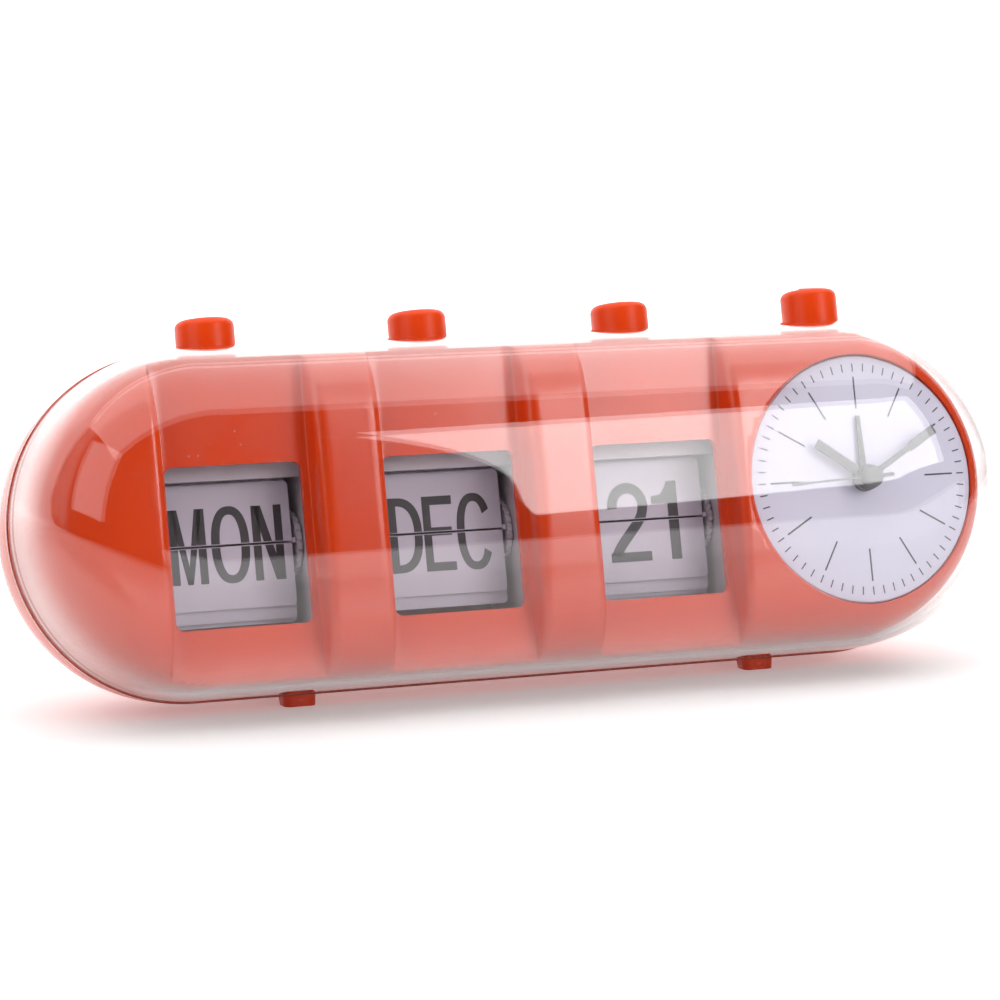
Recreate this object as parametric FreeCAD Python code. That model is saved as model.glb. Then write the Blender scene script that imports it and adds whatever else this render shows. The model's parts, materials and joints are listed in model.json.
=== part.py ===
import FreeCAD, Part
import math
import os

# Flip number clock: a long capsule case with a clear domed front, three flip
# displays (day, month, date), an analogue alarm dial and four top buttons.
# Millimetres.  Everything is drawn in the case's own frame (X right, Y back,
# Z up, origin on the case axis at the widest section) and is then leaned back
# and set down on the table by place().

# ---- driving dimensions -------------------------------------------------
leanAngle = 13.0          # how far the front looks upwards on its feet
tableDrop = 43.6          # case axis to table, measured square to the table
caseRadius = 41.0         # half the height of the case
endX = 83.3               # centre of each rounded end
seamY = 1.5               # joint between clear cover and rear shell
skirtEnd = 3.0            # rear edge of the fascia, where its screw posts end

coverDepth, coverPower, coverWall = 41.5, 3.2, 2.0
rearDepth, rearPower, rearWall = 36.0, 2.6, 2.2
fasciaRadius, fasciaDepth, fasciaPower, fasciaWall = 38.7, 26.0, 5.0, 1.8

unitX = {"day": -75.4, "month": -22.2, "date": 31.0}
unitSteps = {"day": 21, "month": 24, "date": 31}
waitingCount = {"day": 3, "month": 3, "date": 3}
fallenCount = {"day": 3, "month": 2, "date": 4}
windowWide, windowLow, windowHigh, windowCorner = 33.2, -25.4, 12.2, 2.0
channelHalf, floorY = 18.4, -18.5
fasciaBack = floorY + fasciaWall     # rear face of each channel floor

splitZ, leafY = -5.7, -8.5           # where the two halves of a card meet
leafHalf, leafLong, leafThick = 16.1, 14.2, 0.4
leafPivotY = leafY - 0.4
drumY, drumRadius = leafY + 7.0, 8.0

buttonY, buttonRadius, buttonTravel = -6.5, 7.0, 3.0
buttonTop, alarmButtonTop = 47.6, 49.2
alarmButtonX = endX
holeGap = 0.25

dialX, dialY, dialRadius = 84.5, -23.0, 30.4
collarBack = -18.0        # rear edge of the collar round the dial recess
movementRadius, movementFront, lidFront, movementBack = 27.0, -22.0, -6.5, -5.1

screwSpots = [(-104.0, 20.0), (-104.0, -20.0), (4.4, 28.0), (4.4, -28.0), (112.0, 14.0), (112.0, -14.0)]
cellCentre, cellRadius, cellLong = (-8.0, 21.5, -15.0), 7.2, 49.5
footSpots = [(-56.0, 6.0), (65.0, 6.0), (-56.0, 23.0), (65.0, 23.0)]
footWide, footDeep, footCorner = 8.6, 6.0, 1.6

X, Y, Z = FreeCAD.Vector(1, 0, 0), FreeCAD.Vector(0, 1, 0), FreeCAD.Vector(0, 0, 1)
V = FreeCAD.Vector
parts = {}


# ---- small helpers ------------------------------------------------------
def box(x0, x1, y0, y1, z0, z1):
    return Part.makeBox(x1 - x0, y1 - y0, z1 - z0, V(x0, y0, z0))


def rodY(radius, y0, y1, x=0.0, z=0.0):
    return Part.makeCylinder(radius, y1 - y0, V(x, y0, z), Y)


def rodZ(radius, z0, z1, x=0.0, y=0.0):
    return Part.makeCylinder(radius, z1 - z0, V(x, y, z0), Z)


def rodX(radius, x0, x1, y=0.0, z=0.0):
    return Part.makeCylinder(radius, x1 - x0, V(x0, y, z), X)


def ringY(outer, inner, y0, y1, x=0.0, z=0.0):
    return rodY(outer, y0, y1, x, z).cut(rodY(inner, y0 - 1, y1 + 1, x, z))


def fuse(shapes):
    return shapes[0].fuse(shapes[1:]).removeSplitter() if len(shapes) > 1 else shapes[0]


def group(shapes):
    return Part.makeCompound(shapes)


def polygon(points):
    return Part.Face(Part.makePolygon([V(*p) for p in points] + [V(*points[0])]))


# ---- capsule bodies -----------------------------------------------------
def capsule(radius, depth, power, straightEnd, side, count=9):
    """Half capsule: a superellipse section carried along X and turned round both ends."""
    def curvePoint(k):
        angle = math.pi / 2 * k / count
        c, s = math.cos(angle), math.sin(angle)
        size = (c ** power + s ** power) ** (-1.0 / power)
        return V(0, side * depth * s * size, radius * c * size)
    curve = Part.BSplineCurve()
    curve.interpolate([curvePoint(k) for k in range(count + 1)])
    upper = curve.toShape()
    back = side * -straightEnd
    edges = [upper, Part.makeLine(V(0, side * depth, 0), V(0, back, 0)),
             Part.makeLine(V(0, back, 0), V(0, back, radius))]
    if abs(back) > 1e-6:
        edges.append(Part.makeLine(V(0, back, radius), V(0, 0, radius)))
    half = Part.Face(Part.Wire(Part.__sortEdges__(edges)))
    mirrored = half.mirror(V(0, 0, 0), Z)
    middle = half.extrude(V(2 * endX, 0, 0)).fuse(mirrored.extrude(V(2 * endX, 0, 0)))
    middle.translate(V(-endX, 0, 0))
    right = half.revolve(V(0, 0, 0), Y, 180)
    left = right.copy()
    left.rotate(V(0, 0, 0), Y, 180)
    right.translate(V(endX, 0, 0))
    left.translate(V(-endX, 0, 0))
    return middle.fuse([right, left]).removeSplitter()


def roundedWindow(x, y0, y1):
    half = windowWide / 2
    body = box(x - half, x + half, y0, y1, windowLow, windowHigh)
    return body.makeFillet(windowCorner, [e for e in body.Edges if abs(e.tangentAt(0).y) > 0.99])


def makeFrontCover():
    shell = capsule(caseRadius, coverDepth, coverPower, seamY, -1)
    inner = capsule(caseRadius - coverWall, coverDepth - coverWall, coverPower, seamY, -1)
    cover = shell.cut(inner)
    for x in list(unitX.values()) + [alarmButtonX]:
        cover = cover.cut(rodZ(buttonRadius + holeGap, 30, 50, x, buttonY))
    return cover


def makeFascia():
    outer = capsule(fasciaRadius, fasciaDepth, fasciaPower, skirtEnd, -1)
    inner = capsule(fasciaRadius - fasciaWall, fasciaDepth - fasciaWall, fasciaPower, skirtEnd, -1)
    grow = channelHalf + fasciaWall
    for x in unitX.values():
        outer = outer.cut(box(x - channelHalf, x + channelHalf, -60, floorY, -60, 60))
        inner = inner.cut(box(x - grow, x + grow, -60, fasciaBack, -60, 60))
    shell = outer.cut(inner)
    shell = shell.fuse(ringY(dialRadius + 2.0, dialRadius + 0.2, -40, collarBack, dialX).common(outer))
    shell = shell.cut(rodY(dialRadius + 0.2, -60, collarBack, dialX)).cut(flareTool())
    for x in unitX.values():
        shell = shell.cut(roundedWindow(x, floorY - 5, floorY + 5))
    for x, z in screwSpots:
        front = -20.0 if x > endX else -27.5
        shell = shell.fuse(rodY(3.2, front, skirtEnd, x, z).common(outer))
        shell = shell.cut(rodY(1.5, skirtEnd - 10, skirtEnd + 1, x, z))
    for x in list(unitX.values()) + [alarmButtonX]:
        shell = shell.cut(rodZ(buttonRadius + holeGap, 30, 50, x, buttonY))
    return shell.removeSplitter()


def flareTool():
    """Rounded mouth of the dial recess, turned about the dial axis."""
    bore, flareRadius, flareStart = dialRadius + 0.2, 3.0, -23.2
    top = flareStart - flareRadius
    bend = flareRadius * math.sqrt(0.5)
    arc = Part.Arc(V(bore, flareStart, 0), V(bore + flareRadius - bend, flareStart - bend, 0),
                   V(bore + flareRadius, top, 0)).toShape()
    wall = Part.makeLine(V(bore + flareRadius, top, 0), V(bore + flareRadius, -60, 0))
    front = Part.makeLine(V(bore + flareRadius, -60, 0), V(0, -60, 0))
    axis = Part.makeLine(V(0, -60, 0), V(0, flareStart, 0))
    base = Part.makeLine(V(0, flareStart, 0), V(bore, flareStart, 0))
    tool = Part.Face(Part.Wire([arc, wall, front, axis, base])).revolve(V(0, 0, 0), Y, 360)
    tool.translate(V(dialX, 0, 0))
    return tool


def doorTool(gap):
    """Outline of the battery door, seen square from the rear."""
    x, y, z = cellCentre
    return box(x - 31 + gap, x + 31 - gap, y, 60, z - 10 + gap, z + 10 - gap)


def rearCapsules():
    """Outside and inside of the rear shell, as solids."""
    outer = capsule(caseRadius, rearDepth, rearPower, 0, 1)
    inner = capsule(caseRadius - rearWall, rearDepth - rearWall, rearPower, 0, 1)
    for solid in (outer, inner):
        solid.translate(V(0, seamY, 0))
    return outer, inner


def makeFoot(x, y):
    """Peg with rounded corners that narrows towards the table."""
    rings = []
    for z, grow in ((-30.0, 0.8), (-50.0, -0.9)):
        wide, deep = footWide / 2 + grow, footDeep / 2 + grow
        slab = box(x - wide, x + wide, y - deep, y + deep, z, z + 1)
        slab = slab.makeFillet(footCorner, [e for e in slab.Edges if abs(e.tangentAt(0).z) > 0.99])
        rings.append([f for f in slab.Faces if abs(f.CenterOfMass.z - z) < 1e-6][0].OuterWire)
    table = box(-100, 100, -100, 100, -tableDrop - 50, -tableDrop)
    table.rotate(V(0, 0, 0), X, leanAngle)
    table.translate(V(x, 0, 0))
    return Part.makeLoft(rings, True, True).cut(table)


def makeRearShell():
    outer, inner = rearCapsules()
    shell = outer.cut(inner)
    for x, y in footSpots:
        shell = shell.fuse(makeFoot(x, y).cut(inner))
    for x, z in screwSpots:
        shell = shell.fuse(rodY(3.6, skirtEnd, 45, x, z).common(outer))
        shell = shell.cut(rodY(1.7, 3, 45, x, z)).cut(rodY(2.8, 9.0, 45, x, z))
    x, y, z = cellCentre
    pocket = box(x - 32.5, x + 32.5, y - 9.4, 45, z - 11.5, z + 11.5).common(outer)
    hollow = box(x - 31, x + 31, y - 7.9, 45, z - 10, z + 10)
    shell = shell.fuse(pocket).cut(hollow)
    for px, pz in (timeKnobSpot, alarmKnobSpot):
        shell = shell.cut(rodY(1.9, 20, 45, dialX + px, pz))
    return shell.removeSplitter()


def makeBatteryDoor():
    outer, inner = rearCapsules()
    return outer.cut(inner).common(doorTool(0.15))


def makeScrew(x, z):
    head = rodY(2.6, 9.2, 11.0, x, z)
    slot = box(x - 0.3, x + 0.3, 10.4, 12, z - 2.0, z + 2.0)
    cross = box(x - 2.0, x + 2.0, 10.4, 12, z - 0.3, z + 0.3)
    return rodY(1.5, -5.0, 9.2, x, z).fuse(head).cut(slot).cut(cross).removeSplitter()


# ---- battery ------------------------------------------------------------
def makeCell():
    x, y, z = cellCentre
    return rodX(cellRadius, x - cellLong / 2, x + cellLong / 2 - 1, y, z).fuse(
        rodX(2.6, x + cellLong / 2 - 1, x + cellLong / 2, y, z)).removeSplitter()


def makePlusContact():
    x, y, z = cellCentre
    wallX = x + 31
    plate = box(wallX - 0.5, wallX, y - 6, y + 6, z - 6, z + 6)
    return plate.fuse(rodX(2.4, x + cellLong / 2 + 0.05, wallX - 0.5, y, z)).removeSplitter()


def helix(radius, wire, pitch, height, origin, axis):
    path = Part.makeHelix(pitch, height, radius)
    section = Part.Wire(Part.makeCircle(wire, V(radius, 0, 0), V(0, 1, 0)))
    spring = Part.Wire(path.Edges).makePipeShell([section], True, True)
    spring.Placement = FreeCAD.Placement(origin, FreeCAD.Rotation(Z, axis))
    return spring


def makeMinusSpring():
    x, y, z = cellCentre
    wallX = x - 31
    plate = box(wallX, wallX + 0.5, y - 6, y + 6, z - 6, z + 6)
    room = (x - cellLong / 2) - (wallX + 0.5)
    coil = helix(3.2, 0.35, 1.5, room - 0.7, V(wallX + 0.75, y, z), X)
    return plate.fuse(coil)


# ---- flip display unit --------------------------------------------------
def makeUnitFrame(x):
    inner, outer = 18.9, 20.3
    plates = []
    for side in (-1, 1):
        x0, x1 = sorted((x + side * inner, x + side * outer))
        profile = polygon([(x0, fasciaBack, -29), (x0, -4, -31), (x0, 9, -24), (x0, 9, 19),
                           (x0, 2, 25), (x0, -13.5, 25), (x0, fasciaBack, 18)])
        plates.append(profile.extrude(V(x1 - x0, 0, 0)))
    stopBar = box(x - outer, x + outer, -12.6, -11.4, splitZ + 14.9, 17.5)
    topPlate = box(x - outer, x + outer, -13.0, 1.5, 23.6, 25.0).cut(rodZ(2.2, 20, 30, x, buttonY))
    lowBar = box(x - outer, x + outer, -15.6, -14.2, -29, -27)
    rearTie = box(x - outer, x + outer, 7.4, 8.8, -14, 8)
    frame = fuse(plates + [stopBar, topPlate, lowBar, rearTie])
    return frame.cut(rodX(1.55, x - 25, x + 25, drumY, splitZ))


def makeDrum(x, steps):
    """Two notched discs and a saw-toothed ratchet on one barrel; a card's ears rest in each notch."""
    discs = []
    for side in (-1, 1):
        x0, x1 = sorted((x + side * 17.2, x + side * 18.4))
        disc = rodX(drumRadius, x0, x1, drumY, splitZ)
        notches = []
        for k in range(steps):
            angle = 2 * math.pi * (k + 0.5) / steps
            notches.append(rodX(0.42, x0 - 1, x1 + 1, drumY + drumRadius * math.cos(angle),
                                splitZ + drumRadius * math.sin(angle)))
        discs.append(disc.cut(group(notches)))
    barrel = rodX(3.2, x - 17.2, x + 17.2, drumY, splitZ)
    neck = rodX(1.45, x + 18.4, x + 21.2, drumY, splitZ)
    return fuse(discs + [barrel, neck, ratchetTeeth(x, steps)]).cut(rodX(0.8, x - 20, x + 25, drumY, splitZ))


def ratchetTeeth(x, steps):
    tip, root = 6.4, 5.5
    points = []
    for k in range(steps):
        a0, a1 = 2 * math.pi * k / steps, 2 * math.pi * (k + 0.85) / steps
        for radius, angle in ((tip, a0), (root, a0 + 0.02), (tip, a1)):
            points.append((x + 21.2, drumY + radius * math.cos(angle), splitZ + radius * math.sin(angle)))
    return polygon(points).extrude(V(1.4, 0, 0))


def makeAxle(x):
    return rodX(0.75, x - 21.4, x + 23.4, drumY, splitZ).fuse(
        rodX(1.5, x - 21.4, x - 18.9, drumY, splitZ)).removeSplitter()


def leafPlate(x, y, z0, z1):
    body = box(x - leafHalf, x + leafHalf, y - leafThick / 2, y + leafThick / 2, z0, z1)
    outerZ = z0 if abs(z0 - splitZ) > abs(z1 - splitZ) else z1
    corners = [e for e in body.Edges
               if abs(e.tangentAt(0).y) > 0.99 and abs(e.CenterOfMass.z - outerZ) < 0.01]
    return body.makeFillet(1.2, corners)


def makeFallingLeaf(x):
    plate = leafPlate(x, leafY, splitZ + 0.25, splitZ + 0.25 + leafLong)
    ears = [box(x + s * (leafHalf + 0.4) - 0.4, x + s * (leafHalf + 0.4) + 0.4, leafPivotY - 0.2,
                leafY + 0.2, splitZ - 0.2, splitZ + 0.9) for s in (-1, 1)]
    return fuse([plate] + ears)


def makeWaitingLeaves(x, count):
    return group([leafPlate(x, leafY + 0.6 * k, splitZ + 0.25 + 0.4 * k, splitZ + 0.25 + leafLong + 0.3 * k)
                  for k in range(1, count + 1)])


def makeFallenLeaves(x, count):
    leaves = [leafPlate(x, leafY, splitZ - 0.25 - leafLong - 0.6, splitZ - 0.25)]
    for k in range(1, count):
        low = splitZ - leafLong - (3.9 if k == 1 else 3.9 + 0.9 * (k - 1))
        leaves.append(leafPlate(x, leafY + 0.6 * k, low, splitZ - 0.6 - 0.5 * k))
    return group(leaves)


def makeDetentSpring(x):
    foot = box(x + 20.3, x + 22.4, 1.5, 8.4, -13.6, -12.8)
    blade = box(x + 21.2, x + 22.4, drumY - 1.5, 1.5, -12.9, -12.5)
    return foot.fuse(blade).removeSplitter()


def makePushRod(x):
    low, high = 32.6, 34.2
    arm = box(x - 3.0, x + 23.0, buttonY - 2.2, buttonY + 2.2, low, high)
    leg = box(x + 21.4, x + 23.0, drumY - 9.4, drumY - 6.7, -8.0, high)
    bridge = box(x + 21.4, x + 23.0, drumY - 9.4, buttonY + 2.2, low, high)
    return fuse([arm, leg, bridge]).cut(rodZ(2.0, 20, 40, x, buttonY))


# ---- buttons ------------------------------------------------------------
def makeButton(x, top, stemLow, ridge=False):
    cap = rodZ(buttonRadius, 34.3, top, x, buttonY)
    cap = cap.makeFillet(2.0, [e for e in cap.Edges if abs(e.CenterOfMass.z - top) < 0.01
                               and abs(e.BoundBox.ZLength) < 0.01])
    cap = cap.fuse(rodZ(8.1, 34.3, 35.3, x, buttonY))
    cap = cap.cut(rodZ(buttonRadius - 1.6, 30, top - 2.2, x, buttonY))
    stem = rodZ(2.0, stemLow, top - 2.0, x, buttonY)
    pieces = [cap, stem]
    if ridge:
        pieces.append(box(x - 2.6, x + 2.6, buttonY - 0.6, buttonY + 0.6, top - 0.4, top + 0.7))
    return fuse(pieces)


def makeButtonSpring(x, low, high):
    wire, turns = 0.3, 3
    room = high - low - 2 * wire
    return helix(3.4, wire, room / turns, room, V(x, buttonY, low + wire), Z)


def makeAlarmBracket():
    """Small bracket that carries the alarm button's spring and switch."""
    plate = box(alarmButtonX - 9, alarmButtonX + 9, buttonY - 5, buttonY + 5, 28.2, 29.4)
    plate = plate.cut(rodZ(2.2, 20, 40, alarmButtonX, buttonY))
    legs = [box(alarmButtonX + s * 6.5 - 2.5, alarmButtonX + s * 6.5 + 2.5, movementBack, movementBack + 1.2, 20, 28.2)
            for s in (-1, 1)]
    return fuse([plate] + legs)


# ---- movement -----------------------------------------------------------
def gear(teeth, module, y0, y1, x, z, turn=0.0, bore=0.0):
    """Spur wheel with slim straight-sided teeth; turn sets where a tooth points."""
    pitch = teeth * module / 2
    root, tip = pitch - 1.15 * module, pitch + 0.8 * module
    step = 2 * math.pi / teeth
    points = []
    for k in range(teeth):
        middle = turn + k * step
        for radius, part in ((root, -0.24), (tip, -0.09), (tip, 0.09), (root, 0.24)):
            angle = middle + part * step
            points.append((x + radius * math.cos(angle), y0, z + radius * math.sin(angle)))
    wheel = polygon(points).extrude(V(0, y1 - y0, 0))
    return wheel.cut(rodY(bore, y0 - 1, y1 + 1, x, z)) if bore else wheel


def polar(radius, degrees, origin=(0.0, 0.0)):
    angle = math.radians(degrees)
    return origin[0] + radius * math.cos(angle), origin[1] + radius * math.sin(angle)


def meshTurn(teeth, degrees, otherTeeth, otherTurn):
    """Turn that puts a gap where the other wheel, behind this bearing, has a tooth."""
    toOther = math.radians(degrees + 180)
    lag = (math.radians(degrees) - otherTurn) / (2 * math.pi / otherTeeth)
    return toOther + (0.5 + lag) * 2 * math.pi / teeth


trainRadius, thirdAngle = 10.2, 160.0
motionRadius, motionAngle = 8.4, -100.0
timeKnobRadius, timeKnobAngle = 13.6, -35.0
alarmKnobRadius, alarmKnobAngle = 10.8, 45.0
transferRadius, transferAngle = 9.6, 100.0
rotorRadius, rotorAngle = 7.0, 150.0
thirdSpot = polar(trainRadius, thirdAngle)
motionSpot = polar(motionRadius, motionAngle)
timeKnobSpot = polar(timeKnobRadius, timeKnobAngle)
alarmKnobSpot = polar(alarmKnobRadius, alarmKnobAngle)
transferSpot = polar(transferRadius, transferAngle)
rotorSpot = polar(rotorRadius, rotorAngle, transferSpot)
trainModule, centreModule = 0.3, 2 * trainRadius / 72
motionModule, hourModule, alarmModule = 0.35, 0.336, 0.3
fineModule, slowModule = 0.25, 0.4
knobShaft = 1.2


def at(spot):
    return dialX + spot[0], spot[1]


def makeMovementBase():
    cup = rodY(movementRadius, movementFront, lidFront, dialX)
    for angle in (80, 180, 280):
        lug = box(0, movementRadius + 4.8, -17.5, -16.3, -4, 4)
        lug.rotate(V(0, 0, 0), Y, -angle)
        lug.translate(V(dialX, 0, 0))
        cup = cup.fuse(lug)
    cup = cup.cut(rodY(movementRadius - 1.4, movementFront + 1.4, 0, dialX))
    cup = cup.cut(rodY(2.2, -30, 0, dialX))
    for spot in (thirdSpot, motionSpot):
        x, z = at(spot)
        cup = cup.fuse(rodY(0.9, movementFront + 1.4, movementFront + 2.0, x, z))
    return cup.removeSplitter()


def makeMovementLid():
    lid = rodY(movementRadius, lidFront, movementBack, dialX)
    for spot in (timeKnobSpot, alarmKnobSpot):
        x, z = at(spot)
        lid = lid.cut(rodY(knobShaft + 0.08, lidFront - 1, 0, x, z))
    return lid


def makeSecondWheel():
    rod = rodY(0.6, -29.1, -7.1, dialX)
    return fuse([rod, gear(40, slowModule, -9.1, -8.3, dialX, 0, secondDriveTurn),
                 gear(8, trainModule, -13.1, -11.7, dialX, 0, secondTurn)])


transferPinionTurn = math.radians(transferAngle + 180)
secondDriveTurn = meshTurn(40, transferAngle + 180, 8, transferPinionTurn)
secondTurn = math.radians(thirdAngle)
thirdTurn = meshTurn(60, thirdAngle, 8, secondTurn)
thirdPinionTurn = math.radians(thirdAngle + 180)
minuteTurn = meshTurn(64, thirdAngle + 180, 8, thirdPinionTurn)
minutePinionTurn = math.radians(motionAngle)
motionTurn = meshTurn(36, motionAngle, 12, minutePinionTurn)
motionPinionTurn = math.radians(motionAngle + 180)
hourTurn = meshTurn(40, motionAngle + 180, 10, motionPinionTurn)
timeKnobTurn = meshTurn(32, timeKnobAngle, 64, minuteTurn)
alarmTurn = math.radians(alarmKnobAngle)
alarmKnobTurn = meshTurn(24, alarmKnobAngle, 48, alarmTurn)
rotorTurn = math.radians(rotorAngle + 180)
transferTurn = meshTurn(48, rotorAngle + 180, 8, rotorTurn)


def makeThirdWheel():
    x, z = at(thirdSpot)
    return fuse([rodY(0.45, -19.7, -11.4, x, z), gear(60, trainModule, -12.9, -12.1, x, z, thirdTurn),
                 gear(8, centreModule, -16.1, -14.1, x, z, thirdPinionTurn)])


def makeMinuteWheel():
    body = fuse([rodY(1.1, -27.4, -14.7, dialX),
                 gear(64, centreModule, -15.7, -14.9, dialX, 0, minuteTurn),
                 gear(12, motionModule, -17.5, -15.7, dialX, 0, minutePinionTurn)])
    return body.cut(rodY(0.68, -40, 0, dialX))


def makeMotionWheel():
    x, z = at(motionSpot)
    return fuse([rodY(0.45, -19.7, -16.0, x, z), gear(36, motionModule, -17.3, -16.4, x, z, motionTurn),
                 gear(10, hourModule, -19.0, -17.3, x, z, motionPinionTurn)])


def makeHourWheel():
    body = fuse([rodY(1.6, -25.9, -17.8, dialX), gear(40, hourModule, -18.8, -18.0, dialX, 0, hourTurn)])
    return body.cut(rodY(1.18, -40, 0, dialX))


def makeAlarmWheel():
    body = fuse([rodY(2.1, -24.4, -19.1, dialX), gear(48, alarmModule, -20.1, -19.3, dialX, 0, alarmTurn)])
    return body.cut(rodY(1.68, -40, 0, dialX))


def makeKnob(spot, wheel):
    x, z = at(spot)
    grip = rodY(5.0, 38.4, 43.4, x, z)
    ribs = [rodY(0.5, 37, 45, *[x + 5.1 * math.cos(a), z + 5.1 * math.sin(a)])
            for a in [2 * math.pi * k / 18 for k in range(18)]]
    return fuse([rodY(knobShaft, wheel.BoundBox.YMin, 38.4, x, z), grip.cut(group(ribs)), wheel])


def makeTransferWheel():
    x, z = at(transferSpot)
    return fuse([rodY(0.45, -11.7, lidFront, x, z), gear(48, fineModule, -11.1, -10.3, x, z, transferTurn),
                 gear(8, slowModule, -10.3, -8.0, x, z, transferPinionTurn)])


def makeRotor():
    x, z = at(rotorSpot)
    return fuse([rodY(0.45, -11.9, lidFront, x, z), rodY(2.5, -9.7, -7.5, x, z),
                 gear(8, fineModule, -11.4, -9.7, x, z, rotorTurn)])


coilX, coilLow, coilHigh, coilY = -18.6, -12.0, 9.0, -9.4


def makeStator():
    x, z = at(rotorSpot)
    ring = ringY(4.4, 2.9, -8.9, -8.3, x, z)
    barX = dialX + coilX
    arm = box(barX - 1.5, x - 3.4, -8.9, -8.3, coilHigh, coilHigh + 3.0)
    core = box(barX - 0.9, barX + 0.9, coilY - 0.9, coilY + 0.9, coilLow - 1.0, coilHigh + 3.0)
    joint = box(barX - 1.5, barX + 1.5, coilY - 0.9, -8.3, coilHigh, coilHigh + 3.0)
    return fuse([ring, arm, core, joint])


def makeCoil():
    barX = dialX + coilX
    winding = rodZ(2.1, coilLow + 1.0, coilHigh - 1.0, barX, coilY)
    flanges = [rodZ(2.5, z, z + 1.0, barX, coilY) for z in (coilLow, coilHigh - 1.0)]
    core = box(barX - 0.95, barX + 0.95, coilY - 0.95, coilY + 0.95, coilLow - 2, coilHigh + 2)
    return fuse([winding] + flanges).cut(core)


def makeCircuitBoard():
    board = box(dialX + 15.2, dialX + 22.6, -8.1, -7.1, -9, 9)
    chip = rodY(2.0, -9.1, -8.1, dialX + 18.8, 2.5)
    crystal = rodZ(0.9, -7, -1, dialX + 18.8, -8.9)
    return fuse([board, chip, crystal])


def makeBuzzer():
    return rodY(8.0, movementBack, movementBack + 3.0, dialX - 9.0, 4.0).cut(
        rodY(1.0, movementBack + 1.5, movementBack + 4, dialX - 9.0, 4.0))


# ---- dial and hands -----------------------------------------------------
def makeDial():
    return rodY(dialRadius, dialY, dialY + 1.0, dialX).cut(rodY(2.6, -30, 0, dialX))


def handBlade(length, halfRoot, halfTip, tail, halfTail, y0, y1, degrees, stepAt=None):
    """Flat blade seen from the front; degrees run clockwise from twelve."""
    if stepAt:
        outline = [(-halfRoot, 0), (-halfRoot, stepAt), (-halfTip, stepAt), (-halfTip, length),
                   (halfTip, length), (halfTip, stepAt), (halfRoot, stepAt), (halfRoot, 0)]
    else:
        outline = [(-halfRoot, 0), (-halfTip, length), (halfTip, length), (halfRoot, 0)]
    if tail:
        outline += [(halfTail, 0), (halfTail, -tail), (-halfTail, -tail), (-halfTail, 0)]
    blade = polygon([(a, y0, b) for a, b in outline]).extrude(V(0, y1 - y0, 0))
    blade.rotate(V(0, 0, 0), Y, degrees)
    blade.translate(V(dialX, 0, 0))
    return blade


hourAngle, minuteAngle, secondAngle, alarmAngle = 305.0, 60.0, 267.5, 359.0


def makeHand(bossOuter, bore, bossFront, bossBack, blade):
    hand = rodY(bossOuter, bossFront, bossBack, dialX).fuse(blade)
    return hand.cut(rodY(bore, -40, 0, dialX)).removeSplitter()


# ---- everything ---------------------------------------------------------
def build():
    parts["rear_shell"] = makeRearShell()
    parts["front_cover"] = makeFrontCover()
    parts["front_fascia"] = makeFascia()
    parts["case_screws"] = group([makeScrew(x, z) for x, z in screwSpots])
    parts["battery_door"] = makeBatteryDoor()
    parts["battery_cell"] = makeCell()
    parts["battery_plus_contact"] = makePlusContact()
    parts["battery_minus_spring"] = makeMinusSpring()
    for name, x in unitX.items():
        steps = unitSteps[name]
        parts[name + "_frame"] = makeUnitFrame(x)
        parts[name + "_drum"] = makeDrum(x, steps)
        parts[name + "_falling_leaf"] = makeFallingLeaf(x)
        parts[name + "_waiting_leaves"] = makeWaitingLeaves(x, waitingCount[name])
        parts[name + "_fallen_leaves"] = makeFallenLeaves(x, fallenCount[name])
        parts[name + "_push_rod"] = makePushRod(x)
        parts[name + "_button"] = makeButton(x, buttonTop, 23.0)
        parts[name + "_button_spring"] = makeButtonSpring(x, 25.0, 32.6)
    parts["drum_axles"] = group([makeAxle(x) for x in unitX.values()])
    parts["detent_springs"] = group([makeDetentSpring(x) for x in unitX.values()])
    parts["alarm_button"] = makeButton(alarmButtonX, alarmButtonTop, 30.6, ridge=True)
    parts["alarm_button_spring"] = makeButtonSpring(alarmButtonX, 29.4, 34.3)
    parts["alarm_bracket"] = makeAlarmBracket()
    parts["dial_plate"] = makeDial()
    parts["alarm_hand"] = makeHand(3.3, 2.1, -24.4, -23.5, handBlade(
        15.5, 0.95, 0.55, 0, 0, -24.1, -23.7, alarmAngle))
    parts["hour_hand"] = makeHand(3.2, 1.6, -25.9, -24.6, handBlade(
        15.8, 1.2, 1.2, 0, 0, -25.5, -25.1, hourAngle))
    parts["minute_hand"] = makeHand(3.0, 1.1, -27.4, -26.1, handBlade(
        22.1, 0.7, 1.15, 0, 0, -27.0, -26.6, minuteAngle, stepAt=13.4))
    parts["second_hand"] = makeHand(2.7, 0.6, -29.5, -27.6, handBlade(
        22.0, 0.25, 0.4, 6.0, 0.5, -28.4, -28.1, secondAngle, stepAt=18.0))
    parts["movement_base"] = makeMovementBase()
    parts["movement_lid"] = makeMovementLid()
    parts["second_wheel"] = makeSecondWheel()
    parts["third_wheel"] = makeThirdWheel()
    parts["minute_wheel"] = makeMinuteWheel()
    parts["motion_wheel"] = makeMotionWheel()
    parts["hour_wheel"] = makeHourWheel()
    parts["alarm_wheel"] = makeAlarmWheel()
    kx, kz = at(timeKnobSpot)
    parts["time_knob"] = makeKnob(timeKnobSpot, gear(32, centreModule, -15.7, -14.9, kx, kz, timeKnobTurn))
    kx, kz = at(alarmKnobSpot)
    parts["alarm_knob"] = makeKnob(alarmKnobSpot, gear(24, alarmModule, -20.1, -19.3, kx, kz, alarmKnobTurn))
    parts["transfer_wheel"] = makeTransferWheel()
    parts["motor_rotor"] = makeRotor()
    parts["motor_stator"] = makeStator()
    parts["motor_coil"] = makeCoil()
    parts["circuit_board"] = makeCircuitBoard()
    parts["buzzer"] = makeBuzzer()


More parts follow.
